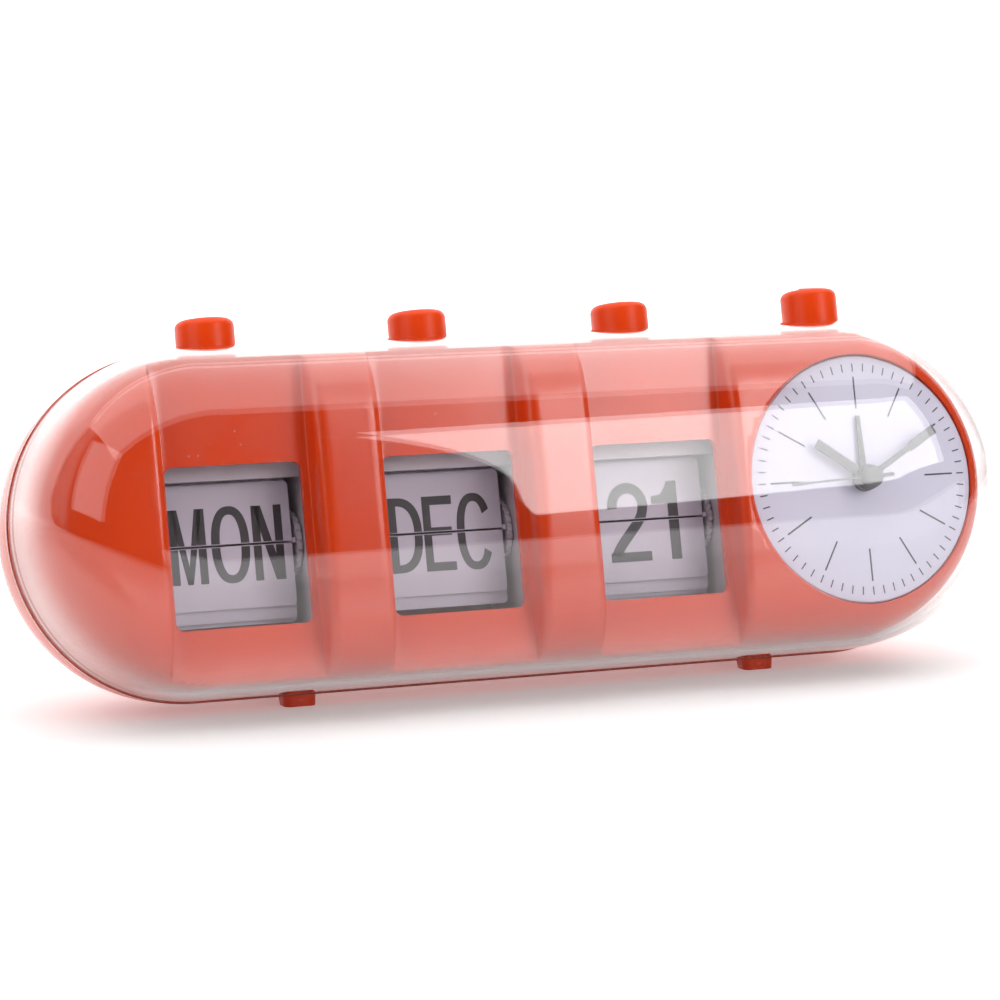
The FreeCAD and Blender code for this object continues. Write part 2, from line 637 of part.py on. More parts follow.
def place(shape):
    """Lean a shape back and set it down on the table."""
    placed = shape.copy()
    placed.rotate(V(0, 0, 0), X, -leanAngle)
    placed.translate(V(0, 0, tableDrop))
    return placed


def main():
    os.makedirs("parts", exist_ok=True)
    build()
    placed = {name: place(shape) for name, shape in parts.items()}
    bounds = Part.makeCompound(list(placed.values())).optimalBoundingBox(False, False)
    centre = V(-(bounds.XMin + bounds.XMax) / 2, -(bounds.YMin + bounds.YMax) / 2, -bounds.ZMin)
    for name, shape in placed.items():
        shape.translate(centre)
        shape.exportStep("parts/" + name + ".step")
        print(name, "solids", len(shape.Solids), "valid", shape.isValid(), "volume", round(shape.Volume, 2))
    print("offset", [round(c, 4) for c in centre], "size", round(bounds.XLength, 2),
          round(bounds.YLength, 2), round(bounds.ZLength, 2))


main()
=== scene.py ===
import json
import math

import bmesh
import bpy
import numpy as np
from mathutils import Matrix, Vector


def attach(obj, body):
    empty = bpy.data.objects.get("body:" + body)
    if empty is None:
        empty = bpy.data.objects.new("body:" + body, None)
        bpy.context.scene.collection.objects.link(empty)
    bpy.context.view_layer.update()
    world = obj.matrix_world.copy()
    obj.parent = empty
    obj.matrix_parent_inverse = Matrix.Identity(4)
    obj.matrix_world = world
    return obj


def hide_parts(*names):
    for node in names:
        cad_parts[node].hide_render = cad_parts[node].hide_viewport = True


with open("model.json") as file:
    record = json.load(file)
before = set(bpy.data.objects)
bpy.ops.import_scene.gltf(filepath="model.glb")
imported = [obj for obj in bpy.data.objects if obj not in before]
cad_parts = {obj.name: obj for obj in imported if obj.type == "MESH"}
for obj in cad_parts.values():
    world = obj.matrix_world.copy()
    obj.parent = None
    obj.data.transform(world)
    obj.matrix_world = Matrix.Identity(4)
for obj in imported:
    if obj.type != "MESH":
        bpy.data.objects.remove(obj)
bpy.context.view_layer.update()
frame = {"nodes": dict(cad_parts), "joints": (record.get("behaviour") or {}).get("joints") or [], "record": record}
nodes = frame["nodes"]
bodyOf = {node: body for body, members in frame["record"]["behaviour"]["bodies"].items() for node in members}
print("frame loaded:", len(nodes), "nodes")

# The clock leans back on its feet. Shapes below are in the clock's own millimetres: x along the case,
# y from front to rear, z up the leaning front, with the spindle of the hands at dialX on the case axis.
dialX = 84.5
spindle = next(joint for joint in frame["joints"] if joint["name"] == "second_turn")
across = np.array([1.0, 0.0, 0.0])
rearward = np.array(spindle["axis"]) / np.linalg.norm(spindle["axis"])
upward = np.cross(across, rearward)
clockAxes = np.array([across, rearward, upward])
caseOrigin = np.array(spindle["pos_m"]) - across * dialX / 1000

# endX is the centre of each round end, unitX the middle of each display, splitZ the line between two half
# cards and leafY the depth of the front card's middle
endX = 83.3
unitX = {"day": -75.4, "month": -22.2, "date": 31.0}
splitZ, leafY = -5.7, -8.5


def toRow(points):
    # clock millimetres to row metres: a turn by the lean, then a shift
    return caseOrigin + np.asarray(points, float) @ clockAxes / 1000


# mesh helpers
def gridFaces(rows, columns, start=0, wrap=False):
    # quads between neighbouring rows and columns of a grid of points
    index = np.arange(rows * columns).reshape(rows, columns) + start
    if wrap:
        index = np.hstack([index, index[:, :1]])
    return np.stack([index[:-1, :-1], index[1:, :-1], index[1:, 1:], index[:-1, 1:]], -1).reshape(-1, 4)


def makeMesh(name, points, faces, angle=32, weld=True):
    mesh = bpy.data.meshes.new(name)
    faceList = faces.tolist() if isinstance(faces, np.ndarray) else faces
    mesh.from_pydata(toRow(points).tolist(), [], faceList)
    finishMesh(mesh, angle, weld)
    return mesh


def finishMesh(mesh, angle, weld=True):
    bm = bmesh.new()
    bm.from_mesh(mesh)
    if weld:
        bmesh.ops.remove_doubles(bm, verts=bm.verts, dist=1e-6)
        bmesh.ops.recalc_face_normals(bm, faces=bm.faces)
    bm.to_mesh(mesh)
    bm.free()
    mesh.shade_smooth()
    mesh.set_sharp_from_angle(angle=math.radians(angle))


def makeObject(name, mesh):
    piece = bpy.data.objects.new(name, mesh)
    bpy.context.scene.collection.objects.link(piece)
    return piece


def place(piece, body, slot, material, *stoodFor):
    # look, body and slot of a piece, and the nodes it stands for
    piece.data.materials.clear()
    piece.data.materials.append(material)
    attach(piece, body)
    if stoodFor:
        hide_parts(*stoodFor)
    return piece


def carve(piece, tools, angle=32):
    # boolean steps in order, each (tool, operation); the tools are used up
    for tool, operation in tools:
        step = piece.modifiers.new("step", "BOOLEAN")
        step.object, step.operation, step.solver = tool, operation, "MANIFOLD"
    depsgraph = bpy.context.evaluated_depsgraph_get()
    solved = bpy.data.meshes.new_from_object(piece.evaluated_get(depsgraph))
    piece.modifiers.clear()
    piece.data = solved
    for tool, _ in tools:
        bpy.data.objects.remove(tool)
    finishMesh(solved, angle, weld=False)
    return piece


def turned(profile, centre, along="z", steps=64):
    # closed profile of (radius, height) turned about a line through centre, along z or y
    radius, height = np.array(profile, float).T
    angle = np.linspace(0, 2 * math.pi, steps, endpoint=False)
    a = np.outer(radius, np.cos(angle))
    b = np.outer(radius, np.sin(angle))
    h = np.repeat(height[:, None], steps, 1)
    stack = (a, b, h) if along == "z" else (a, h, b)
    points = np.stack(stack, -1).reshape(-1, 3) + np.array(centre, float)
    faces = gridFaces(len(radius), steps, wrap=True)
    last = (len(radius) - 1) * steps
    ring = np.arange(steps)
    closing = np.stack([last + ring, ring, (ring + 1) % steps, last + (ring + 1) % steps], -1)
    return points, np.vstack([faces, closing])


def slabs(corners, front, rear):
    # n flat quads, corners (n, 4, 2) in x and z, each given thickness between two depths
    corners = np.asarray(corners, float)
    count = len(corners)
    low = np.stack([corners[..., 0], np.broadcast_to(front, corners[..., 0].shape), corners[..., 1]], -1)
    high = np.stack([corners[..., 0], np.broadcast_to(rear, corners[..., 0].shape), corners[..., 1]], -1)
    points = np.concatenate([low, high], 1).reshape(-1, 3)
    pattern = np.array([[0, 1, 2, 3], [7, 6, 5, 4], [0, 4, 5, 1], [1, 5, 6, 2], [2, 6, 7, 3], [3, 7, 4, 0]])
    faces = (pattern[None] + 8 * np.arange(count)[:, None, None]).reshape(-1, 4)
    return points, faces


def roundedBlock(x0, x1, z0, z1, y0, y1, corner, steps=6):
    # rectangle in x and z with corners of quarter circles, extruded in y and capped with one face each end
    angle = np.radians(np.linspace(0, 90, steps + 1))
    outline = []
    for cx, cz, turn in ((x1 - corner, z1 - corner, 0), (x0 + corner, z1 - corner, 1),
                         (x0 + corner, z0 + corner, 2), (x1 - corner, z0 + corner, 3)):
        a = angle + turn * math.pi / 2
        outline.append(np.stack([cx + corner * np.cos(a), cz + corner * np.sin(a)], -1))
    outline = np.vstack(outline)
    count = len(outline)
    points = np.vstack([np.column_stack([outline[:, 0], np.full(count, y), outline[:, 1]]) for y in (y0, y1)])
    faces = gridFaces(2, count, wrap=True).tolist() + [list(range(count)), list(range(count, 2 * count))]
    return points, faces


def superellipse(angle, power):
    # (cos, sin) of an angle stretched so that |a|^p + |b|^p = 1
    c, s = np.cos(angle), np.sin(angle)
    size = (np.abs(c) ** power + np.abs(s) ** power) ** (-1 / power)
    return c * size, s * size


def arc(cx, cy, radius, start, end, steps):
    angle = np.radians(np.linspace(start, end, steps))
    return [(cx + radius * math.cos(a), cy + radius * math.sin(a)) for a in angle]


# shader groups
def newGroup(name, inputs, outputs):
    group = bpy.data.node_groups.new(name, "ShaderNodeTree")
    for title, kind, value in inputs:
        socket = group.interface.new_socket(name=title, in_out="INPUT", socket_type="NodeSocket" + kind)
        if value is not None:
            socket.default_value = value
    for title, kind in outputs:
        group.interface.new_socket(name=title, in_out="OUTPUT", socket_type="NodeSocket" + kind)
    return group, group.nodes.new("NodeGroupInput"), group.nodes.new("NodeGroupOutput")


def setInputs(node, **values):
    # sockets by name, with an underline for each space
    for key, value in values.items():
        node.inputs[key.replace("_", " ")].default_value = value


def addNode(tree, kind, settings=(), **values):
    node = tree.nodes.new("ShaderNode" + kind)
    for key, value in dict(settings).items():
        setattr(node, key, value)
    setInputs(node, **values)
    return node


def colourMix(tree, factor, a, b):
    mix = addNode(tree, "Mix", {"data_type": "RGBA"})
    for socket, source in ((mix.inputs[0], factor), (mix.inputs[6], a), (mix.inputs[7], b)):
        tree.links.new(source, socket)
    return mix.outputs[2]


def mapRange(tree, value, low, high, toLow=0.0, toHigh=1.0):
    node = addNode(tree, "MapRange", {"interpolation_type": "SMOOTHSTEP"}, From_Min=low, From_Max=high)
    tree.links.new(value, node.inputs["Value"])
    for title, amount in (("To Min", toLow), ("To Max", toHigh)):
        if isinstance(amount, float):
            node.inputs[title].default_value = amount
        else:
            tree.links.new(amount, node.inputs[title])
    return node.outputs["Result"]


def makeGrainGroup():
    # fine even noise for the skin of a moulding, and slow noise that drifts its colour and gloss
    group, start, end = newGroup("mouldedGrain", [
        ("Vector", "Vector", None),
        ("Colour", "Color", (0.8, 0.8, 0.8, 1)), ("Shade", "Color", (0.6, 0.6, 0.6, 1)),
        ("Scale", "Float", 900.0), ("Drift", "Float", 0.3), ("Smooth", "Float", 0.2),
        ("Rough", "Float", 0.3)],
        [("Colour", "Color"), ("Roughness", "Float"), ("Height", "Float")])
    link = group.links.new
    fine = addNode(group, "TexNoise", Detail=3.0, Roughness=0.55)
    link(start.outputs["Vector"], fine.inputs["Vector"])
    link(start.outputs["Scale"], fine.inputs["Scale"])
    slow = addNode(group, "TexNoise", Scale=38.0, Detail=4.0, Roughness=0.6)
    link(start.outputs["Vector"], slow.inputs["Vector"])
    amount = addNode(group, "Math", {"operation": "MULTIPLY"})
    link(mapRange(group, slow.outputs["Fac"], 0.35, 0.7), amount.inputs[0])
    link(start.outputs["Drift"], amount.inputs[1])
    tint = colourMix(group, amount.outputs[0], start.outputs["Colour"], start.outputs["Shade"])
    link(tint, end.inputs["Colour"])
    gloss = mapRange(group, slow.outputs["Fac"], 0.3, 0.7,
                     start.outputs["Smooth"], start.outputs["Rough"])
    link(gloss, end.inputs["Roughness"])
    link(fine.outputs["Fac"], end.inputs["Height"])
    return group


def makeDustGroup():
    # sparse specks from the cells of a Voronoi pattern, thinned by slow noise
    group, start, end = newGroup("dustSpecks", [("Vector", "Vector", None), ("Scale", "Float", 420.0),
                                                ("Amount", "Float", 0.5)], [("Mask", "Float")])
    link = group.links.new
    cells = addNode(group, "TexVoronoi", Randomness=1.0)
    link(start.outputs["Vector"], cells.inputs["Vector"])
    link(start.outputs["Scale"], cells.inputs["Scale"])
    patch = addNode(group, "TexNoise", Scale=55.0, Detail=2.0)
    link(start.outputs["Vector"], patch.inputs["Vector"])
    speck = mapRange(group, cells.outputs["Distance"], 0.16, 0.05)
    thin = mapRange(group, patch.outputs["Fac"], 0.56, 0.7)
    both = addNode(group, "Math", {"operation": "MULTIPLY"})
    link(speck, both.inputs[0])
    link(thin, both.inputs[1])
    scaled = addNode(group, "Math", {"operation": "MULTIPLY"})
    link(both.outputs[0], scaled.inputs[0])
    link(start.outputs["Amount"], scaled.inputs[1])
    link(scaled.outputs[0], end.inputs["Mask"])
    return group


def makeScratchGroup():
    # hairlines: noise squeezed hard along one direction, cut to its thin bright crests
    group, start, end = newGroup("hairlines", [("Vector", "Vector", None), ("Scale", "Float", 60.0),
                                               ("Amount", "Float", 0.5)], [("Mask", "Float")])
    link = group.links.new
    squeeze = addNode(group, "Mapping", Rotation=(0.3, 0.5, 0.8), Scale=(1.0, 14.0, 14.0))
    link(start.outputs["Vector"], squeeze.inputs["Vector"])
    noise = addNode(group, "TexNoise", Detail=5.0, Roughness=0.7)
    link(squeeze.outputs["Vector"], noise.inputs["Vector"])
    link(start.outputs["Scale"], noise.inputs["Scale"])
    scaled = addNode(group, "Math", {"operation": "MULTIPLY"})
    link(mapRange(group, noise.outputs["Fac"], 0.62, 0.74), scaled.inputs[0])
    link(start.outputs["Amount"], scaled.inputs[1])
    link(scaled.outputs[0], end.inputs["Mask"])
    return group


grainGroup, dustGroup, scratchGroup = makeGrainGroup(), makeDustGroup(), makeScratchGroup()


def useGroup(tree, group, vector, **values):
    node = tree.nodes.new("ShaderNodeGroup")
    node.node_tree = group
    tree.links.new(vector, node.inputs["Vector"])
    setInputs(node, **values)
    return node


def startMaterial(name):
    material = bpy.data.materials.new(name)
    material.use_nodes = True
    tree = material.node_tree
    tree.nodes.clear()
    output = tree.nodes.new("ShaderNodeOutputMaterial")
    shader = tree.nodes.new("ShaderNodeBsdfPrincipled")
    tree.links.new(shader.outputs[0], output.inputs["Surface"])
    where = tree.nodes.new("ShaderNodeTexCoord").outputs["Object"]
    return material, tree, shader, where


def makeFinish(name, colour, shade, gloss, bump=0.02, grain=900.0, drift=0.4, dust=0.0, scratch=0.0,
               metallic=0.0, coat=0.0, subsurface=0.0, specular=0.5, stretch=None):
    # a moulded, printed or metal skin: drifting colour, uneven gloss, fine bump, dust and hairlines
    material, tree, shader, where = startMaterial(name)
    link = tree.links.new
    if stretch:
        mapping = addNode(tree, "Mapping", Scale=stretch)
        link(where, mapping.inputs["Vector"])
        where = mapping.outputs["Vector"]
    skin = useGroup(tree, grainGroup, where, Colour=(*colour, 1), Shade=(*shade, 1), Scale=grain, Drift=drift,
                    Smooth=gloss[0], Rough=gloss[1])
    tint, roughness = skin.outputs["Colour"], skin.outputs["Roughness"]
    if dust:
        specks = useGroup(tree, dustGroup, where, Amount=dust)
        pale = addNode(tree, "RGB")
        pale.outputs[0].default_value = (0.62, 0.58, 0.54, 1)
        tint = colourMix(tree, specks.outputs["Mask"], tint, pale.outputs[0])
    if scratch:
        lines = useGroup(tree, scratchGroup, where, Amount=scratch)
        rise = addNode(tree, "Math", {"operation": "ADD", "use_clamp": True})
        link(roughness, rise.inputs[0])
        link(lines.outputs["Mask"], rise.inputs[1])
        roughness = rise.outputs[0]
    link(tint, shader.inputs["Base Color"])
    link(roughness, shader.inputs["Roughness"])
    relief = addNode(tree, "Bump", Strength=bump, Distance=0.0004)
    link(skin.outputs["Height"], relief.inputs["Height"])
    link(relief.outputs["Normal"], shader.inputs["Normal"])
    setInputs(shader, Metallic=metallic, Coat_Weight=coat, Coat_Roughness=0.06, Specular_IOR_Level=specular)
    if subsurface:
        setInputs(shader, Subsurface_Weight=subsurface, Subsurface_Radius=(0.004, 0.0012, 0.0004),
                  Subsurface_Scale=0.5)
    return material


def makeClearFinish():
    # clear moulding: plain transmission, gloss broken only by faint hairlines, open to shadow rays
    material, tree, shader, where = startMaterial("clearCover")
    link = tree.links.new
    setInputs(shader, Base_Color=(0.985, 0.99, 0.992, 1), Transmission_Weight=1.0, IOR=1.49)
    lines = useGroup(tree, scratchGroup, where, Scale=45.0, Amount=0.05)
    rise = addNode(tree, "Math", {"operation": "ADD"})
    rise.inputs[0].default_value = 0.012
    link(lines.outputs["Mask"], rise.inputs[1])
    link(rise.outputs[0], shader.inputs["Roughness"])
    path = addNode(tree, "LightPath")
    clear = addNode(tree, "BsdfTransparent", Color=(0.96, 0.965, 0.97, 1))
    mix = addNode(tree, "MixShader")
    link(path.outputs["Is Shadow Ray"], mix.inputs[0])
    link(shader.outputs[0], mix.inputs[1])
    link(clear.outputs[0], mix.inputs[2])
    link(mix.outputs[0], tree.nodes["Material Output"].inputs["Surface"])
    return material


finish = {
    "orange_shell": makeFinish("orangeShell", (0.62, 0.042, 0.001), (0.54, 0.032, 0.0005), (0.16, 0.24),
                               bump=0.03, dust=0.25, scratch=0.08, coat=0.15, subsurface=0.12),
    "orange_button": makeFinish("orangeButton", (0.93, 0.066, 0.002), (0.84, 0.05, 0.001), (0.3, 0.4),
                                bump=0.08, grain=1500.0, dust=0.2, scratch=0.06, subsurface=0.12,
                                specular=0.3),
    "clear_cover": makeClearFinish(),
    # the display frames are white plastic; their grey base colour is painted shade from their place deep behind
    # the cards
    "unit_grey": makeFinish("unitPaintedShade", (0.50, 0.44, 0.49), (0.42, 0.37, 0.42), (0.4, 0.55),
                            bump=0.1, dust=0.3),
    # the cards are white; their darker lavender grey is painted shade from the window recess
    "leaf_white": makeFinish("leafCardPaintedShade", (0.52, 0.46, 0.55), (0.47, 0.42, 0.51), (0.38, 0.5),
                             bump=0.06, grain=2200.0, drift=0.5, scratch=0.05),
    "dial_white": makeFinish("dialCard", (0.60, 0.56, 0.68), (0.56, 0.52, 0.64), (0.42, 0.5), bump=0.05,
                             grain=2600.0, drift=0.5),
    "hand_grey": makeFinish("handGrey", (0.17, 0.165, 0.175), (0.13, 0.125, 0.135), (0.38, 0.5),
                            bump=0.05, grain=3000.0, scratch=0.1),
    "steel": makeFinish("drawnSteel", (0.62, 0.61, 0.6), (0.5, 0.5, 0.5), (0.22, 0.38),
                        bump=0.1, grain=1800.0, metallic=1.0, scratch=0.15, stretch=(1.0, 1.0, 4.0)),
    "brass": makeFinish("rolledBrass", (0.75, 0.55, 0.22), (0.62, 0.42, 0.15), (0.25, 0.4),
                        bump=0.1, grain=1800.0, metallic=1.0, scratch=0.15),
    "black_plastic": makeFinish("blackGrain", (0.022, 0.022, 0.025), (0.035, 0.034, 0.036), (0.42, 0.6),
                                bump=0.25, grain=1400.0, dust=0.3),
    "gear_white": makeFinish("gearNylon", (0.72, 0.71, 0.64), (0.64, 0.62, 0.54), (0.35, 0.5), bump=0.05),
    "copper": makeFinish("copperWinding", (0.72, 0.26, 0.1), (0.5, 0.16, 0.06), (0.2, 0.34),
                         bump=0.5, grain=700.0, metallic=0.9, stretch=(0.2, 0.2, 6.0)),
    "board_green": makeFinish("boardMask", (0.02, 0.2, 0.07), (0.015, 0.14, 0.05), (0.2, 0.34),
                              bump=0.1, coat=0.3),
    "cell_jacket": makeFinish("cellSleeve", (0.05, 0.055, 0.065), (0.09, 0.09, 0.1), (0.16, 0.26), bump=0.03,
                              scratch=0.1, coat=0.2),
}
printInk = makeFinish("printInk", (0.028, 0.018, 0.024), (0.04, 0.028, 0.034), (0.4, 0.55),
                      bump=0.1, grain=2600.0)
dialInk = makeFinish("dialInk", (0.035, 0.03, 0.04), (0.06, 0.05, 0.065), (0.4, 0.5),
                     bump=0.05, grain=2600.0)
print("finishes made:", len(finish) + 2)

# clear cover
cover = dict(radius=41.0, depth=41.5, power=3.2, wall=2.0, rear=1.5, lip=0.35, holeRadius=7.25,
             holeLow=30, holeHigh=50, buttonY=-6.5, endSteps=72, runSteps=60, arcSteps=44,
             tabX=(-50.5, 60.0), tabWide=7.0, tabDeep=6.0, tabLean=1.6, tabLow=-41.9, tabHigh=-40.2,
             tabGap=0.4, tabBevel=0.35, tabInset=0.5)


def sweepRound(profile, endSteps, runSteps):
    # profile of (radial, depth) carried round the case outline: two half turns joined by two straight runs
    radial, depth = np.array(profile, float).T
    half = np.linspace(-math.pi / 2, math.pi / 2, endSteps + 1)
    run = np.linspace(endX, -endX, runSteps + 1)[1:-1]
    straight = np.full(len(run), math.pi / 2)
    angle = np.concatenate([half, straight, half + math.pi, -straight])
    spine = np.concatenate([np.full(len(half), endX), run, np.full(len(half), -endX), -run])
    x = spine + np.outer(radial, np.cos(angle))
    z = np.outer(radial, np.sin(angle))
    y = np.repeat(depth[:, None], len(angle), 1)
    return np.stack([x, y, z], -1).reshape(-1, 3), gridFaces(len(radial), len(angle), wrap=True)


def makeSnapTab(x):
    # slanted block standing a little proud of the cover's underside, narrower at its outer face
    wide, lean, low = cover["tabWide"] / 2, cover["tabLean"], cover["tabLow"]
    y1 = cover["rear"] - cover["tabGap"]
    y0 = y1 - cover["tabDeep"]
    rings = []
    for z, inset in ((cover["tabHigh"], 0.0), (low + cover["tabBevel"], 0.0), (low, cover["tabInset"])):
        corners = [(-wide + inset + lean, y0 + inset), (wide - inset + lean, y0 + inset),
                   (wide - inset - lean, y1 - inset), (-wide + inset - lean, y1 - inset)]
        rings.append([(x + a, y, z) for a, y in corners])
    faces = gridFaces(3, 4, wrap=True).tolist() + [[0, 1, 2, 3], [8, 9, 10, 11]]
    return np.array(rings).reshape(-1, 3), faces


def buttonHoles():
    # upright round tools for the holes of the four buttons
    r, low, high = cover["holeRadius"], cover["holeLow"], cover["holeHigh"]
    holes = []
    for x in list(unitX.values()) + [endX]:
        plug = turned([(0, low), (r, low), (r, high), (0, high)], (x, cover["buttonY"], 0))
        holes.append((makeObject("holeTool", makeMesh("holeTool", *plug)), "DIFFERENCE"))
    return holes


def makeCover():
    # outer superellipse from pole to rim, a small bead at the rim, then the inner one back to its pole
    angle = np.linspace(math.pi / 2, 0, cover["arcSteps"] + 1)
    c, s = superellipse(angle, cover["power"])
    outer = list(zip(cover["radius"] * c, -cover["depth"] * s))
    bead = [(cover["radius"] + 0.05, 0.1), (cover["radius"] + cover["lip"], 0.4),
            (cover["radius"] + cover["lip"], 1.2), (cover["radius"] + 0.1, cover["rear"])]
    inside = cover["radius"] - cover["wall"]
    inner = [(inside, cover["rear"])] + list(zip(inside * c, -(cover["depth"] - cover["wall"]) * s))[::-1]
    points, faces = sweepRound(outer + bead + inner, cover["endSteps"], cover["runSteps"])
    points[np.isclose(points[:, 1], -cover["depth"], atol=1e-9), 2] = 0.0
    shell = makeObject("clearCover", makeMesh("clearCover", points, faces))
    tabs = [(makeObject("snapTab", makeMesh("snapTab", *makeSnapTab(x))), "UNION") for x in cover["tabX"]]
    return carve(shell, tabs + buttonHoles(), 40)


place(makeCover(), "case", "clear_cover", finish["clear_cover"], "front_cover")
print("clear cover done")

# fascia
fascia = dict(radius=38.7, depth=26.0, power=5.0, wall=1.8, rear=3.0, channelHalf=18.4, floor=18.5,
              crest=2.4, root=0.6, windowHalf=16.6, windowLow=-25.4, windowHigh=12.2, windowCorner=2.0,
              windowY=(-23, -14), bore=30.6, flare=3.0, flareY=-23.2, collarFront=-30, collarRear=-18.0,
              collarWall=1.8, postRadius=3.2, postFront=-27.5, endPostFront=-20, pilotRadius=1.5,
              pilotY=(-7, 5), clear=-60)
postSpots = [(-104.0, 20.0), (-104.0, -20.0), (4.4, 28.0), (4.4, -28.0), (112.0, 14.0), (112.0, -14.0)]


def fasciaHeight(x, z, radius, depth):
    # superellipse dome of the capsule: full depth on the axis, nothing at the rim
    reach = np.hypot(np.maximum(np.abs(x) - endX, 0), z) / radius
    return depth * np.maximum(1 - reach ** fascia["power"], 0) ** (1 / fascia["power"])


def fasciaSheet(inset):
    # rows of constant z from rim to rim; along each row the dome, and in each channel crest, wall and floor
    radius, depth, floor = fascia["radius"] - inset, fascia["depth"] - inset, fascia["floor"] - inset
    half = fascia["channelHalf"] + inset
    crest, root = max(fascia["crest"] - inset, 0.3), fascia["root"] + inset
    angle = np.radians(np.concatenate([np.linspace(-90, -54.5, 22), np.linspace(-53.5, 53.5, 75),
                                       np.linspace(54.5, 90, 22)]))
    z = -radius * superellipse(angle, fascia["power"])[1]
    reach = endX + np.sqrt(np.maximum(radius ** 2 - z ** 2, 0))
    xs, ys = [], []

    def column(x, y=None):
        x = np.clip(x, -reach, reach)
        xs.append(x)
        ys.append(-fasciaHeight(x, z, radius, depth) if y is None else y)

    def edge(wallX, side, fromRidge):
        # crest and root arcs of one channel wall; side is +1 where the channel lies towards +x
        wall = np.clip(wallX, -reach, reach) + 0 * z
        rise = np.maximum(fasciaHeight(wall, z, radius, depth) - floor, 0)
        crestNow, rootNow = np.minimum(crest, 0.75 * rise), np.minimum(root, 0.25 * rise)
        top = fasciaHeight(wall - side * crestNow, z, radius, depth)
        base = np.minimum(fasciaHeight(wall, z, radius, depth), floor)
        bends = [(wall - side * crestNow * (1 - math.sin(a)), -(top - crestNow * (1 - math.cos(a))))
                 for a in np.radians(np.linspace(0, 90, 8))]
        bends += [(wall + side * rootNow * (1 - math.cos(a)), -(base + rootNow * (1 - math.sin(a))))
                  for a in np.radians(np.linspace(0, 90, 4))]
        for x, y in bends if fromRidge else bends[::-1]:
            xs.append(x)
            ys.append(y)
        return wall, crestNow, rootNow

    leftShares = superellipse(np.linspace(math.pi / 2, 0, 26), fascia["power"])[1]
    rightShares = superellipse(np.linspace(0, math.pi / 2, 46), fascia["power"])[1]
    walls = []
    for centre in unitX.values():
        walls += [centre - half, centre + half]
    start = np.clip(walls[0] - crest, -reach, reach)
    for share in leftShares:
        column(start - (start + reach) * share)
    for k in range(0, len(walls), 2):
        edge(walls[k], 1, True)
        a, b = walls[k] + root, walls[k + 1] - root
        for share in np.linspace(0, 1, 16)[1:-1]:
            x = np.clip(a + (b - a) * share, -reach, reach)
            column(x, -np.minimum(fasciaHeight(x, z, radius, depth), floor))
        edge(walls[k + 1], -1, False)
        if k + 2 < len(walls):
            for share in (0.1, 0.3, 0.5, 0.7, 0.9):
                ridge = walls[k + 2] - walls[k + 1] - 2 * crest
                column(walls[k + 1] + crest + ridge * share + 0 * z)
    start = walls[-1] + crest + 0 * z
    for share in rightShares:
        column(start + (reach - start) * share)
    x, y = np.stack(xs, 1), np.stack(ys, 1)
    return np.stack([x, y, np.repeat(z[:, None], x.shape[1], 1)], -1)


def fasciaRim(index):
    return np.concatenate([index[0, :], index[1:, -1], index[-1, -2::-1], index[-2:0:-1, 0]])


def makeFasciaShell():
    # outer and inner sheets joined round the rim by a straight skirt to the rear
    outer, inner = fasciaSheet(0.0), fasciaSheet(fascia["wall"])
    rows, columns = outer.shape[:2]
    index = np.arange(rows * columns).reshape(rows, columns)
    rim = fasciaRim(index)
    points = [outer.reshape(-1, 3), inner.reshape(-1, 3)]
    skirts = []
    for sheet in points[:2]:
        skirt = sheet[rim].copy()
        skirt[:, 1] = fascia["rear"]
        skirts.append(skirt)
    points = np.vstack(points + skirts)
    total, count = rows * columns, len(rim)
    outerSkirt, innerSkirt = 2 * total + np.arange(count), 2 * total + count + np.arange(count)
    rings = [rim, outerSkirt, innerSkirt, rim + total]
    strips = [np.stack([a, b, np.roll(b, -1), np.roll(a, -1)], -1)
              for a, b in zip(rings[:-1], rings[1:])]
    faces = np.vstack([gridFaces(rows, columns), gridFaces(rows, columns, total)[:, ::-1]] + strips)
    return points, faces


def makeFasciaSolid():
    # the outer sheet closed by its skirt and a flat rear face, used to trim the posts and the collar
    outer = fasciaSheet(0.0)
    rows, columns = outer.shape[:2]
    rear = outer.copy()
    rear[..., 1] = fascia["rear"]
    rim = fasciaRim(np.arange(rows * columns).reshape(rows, columns))
    total = rows * columns
    strip = np.stack([rim, rim + total, np.roll(rim, -1) + total, np.roll(rim, -1)], -1)
    faces = np.vstack([gridFaces(rows, columns), gridFaces(rows, columns, total)[:, ::-1], strip])
    return np.vstack([outer.reshape(-1, 3), rear.reshape(-1, 3)]), faces


def fasciaTool(name, part, operation):
    return makeObject(name, makeMesh(name, *part)), operation


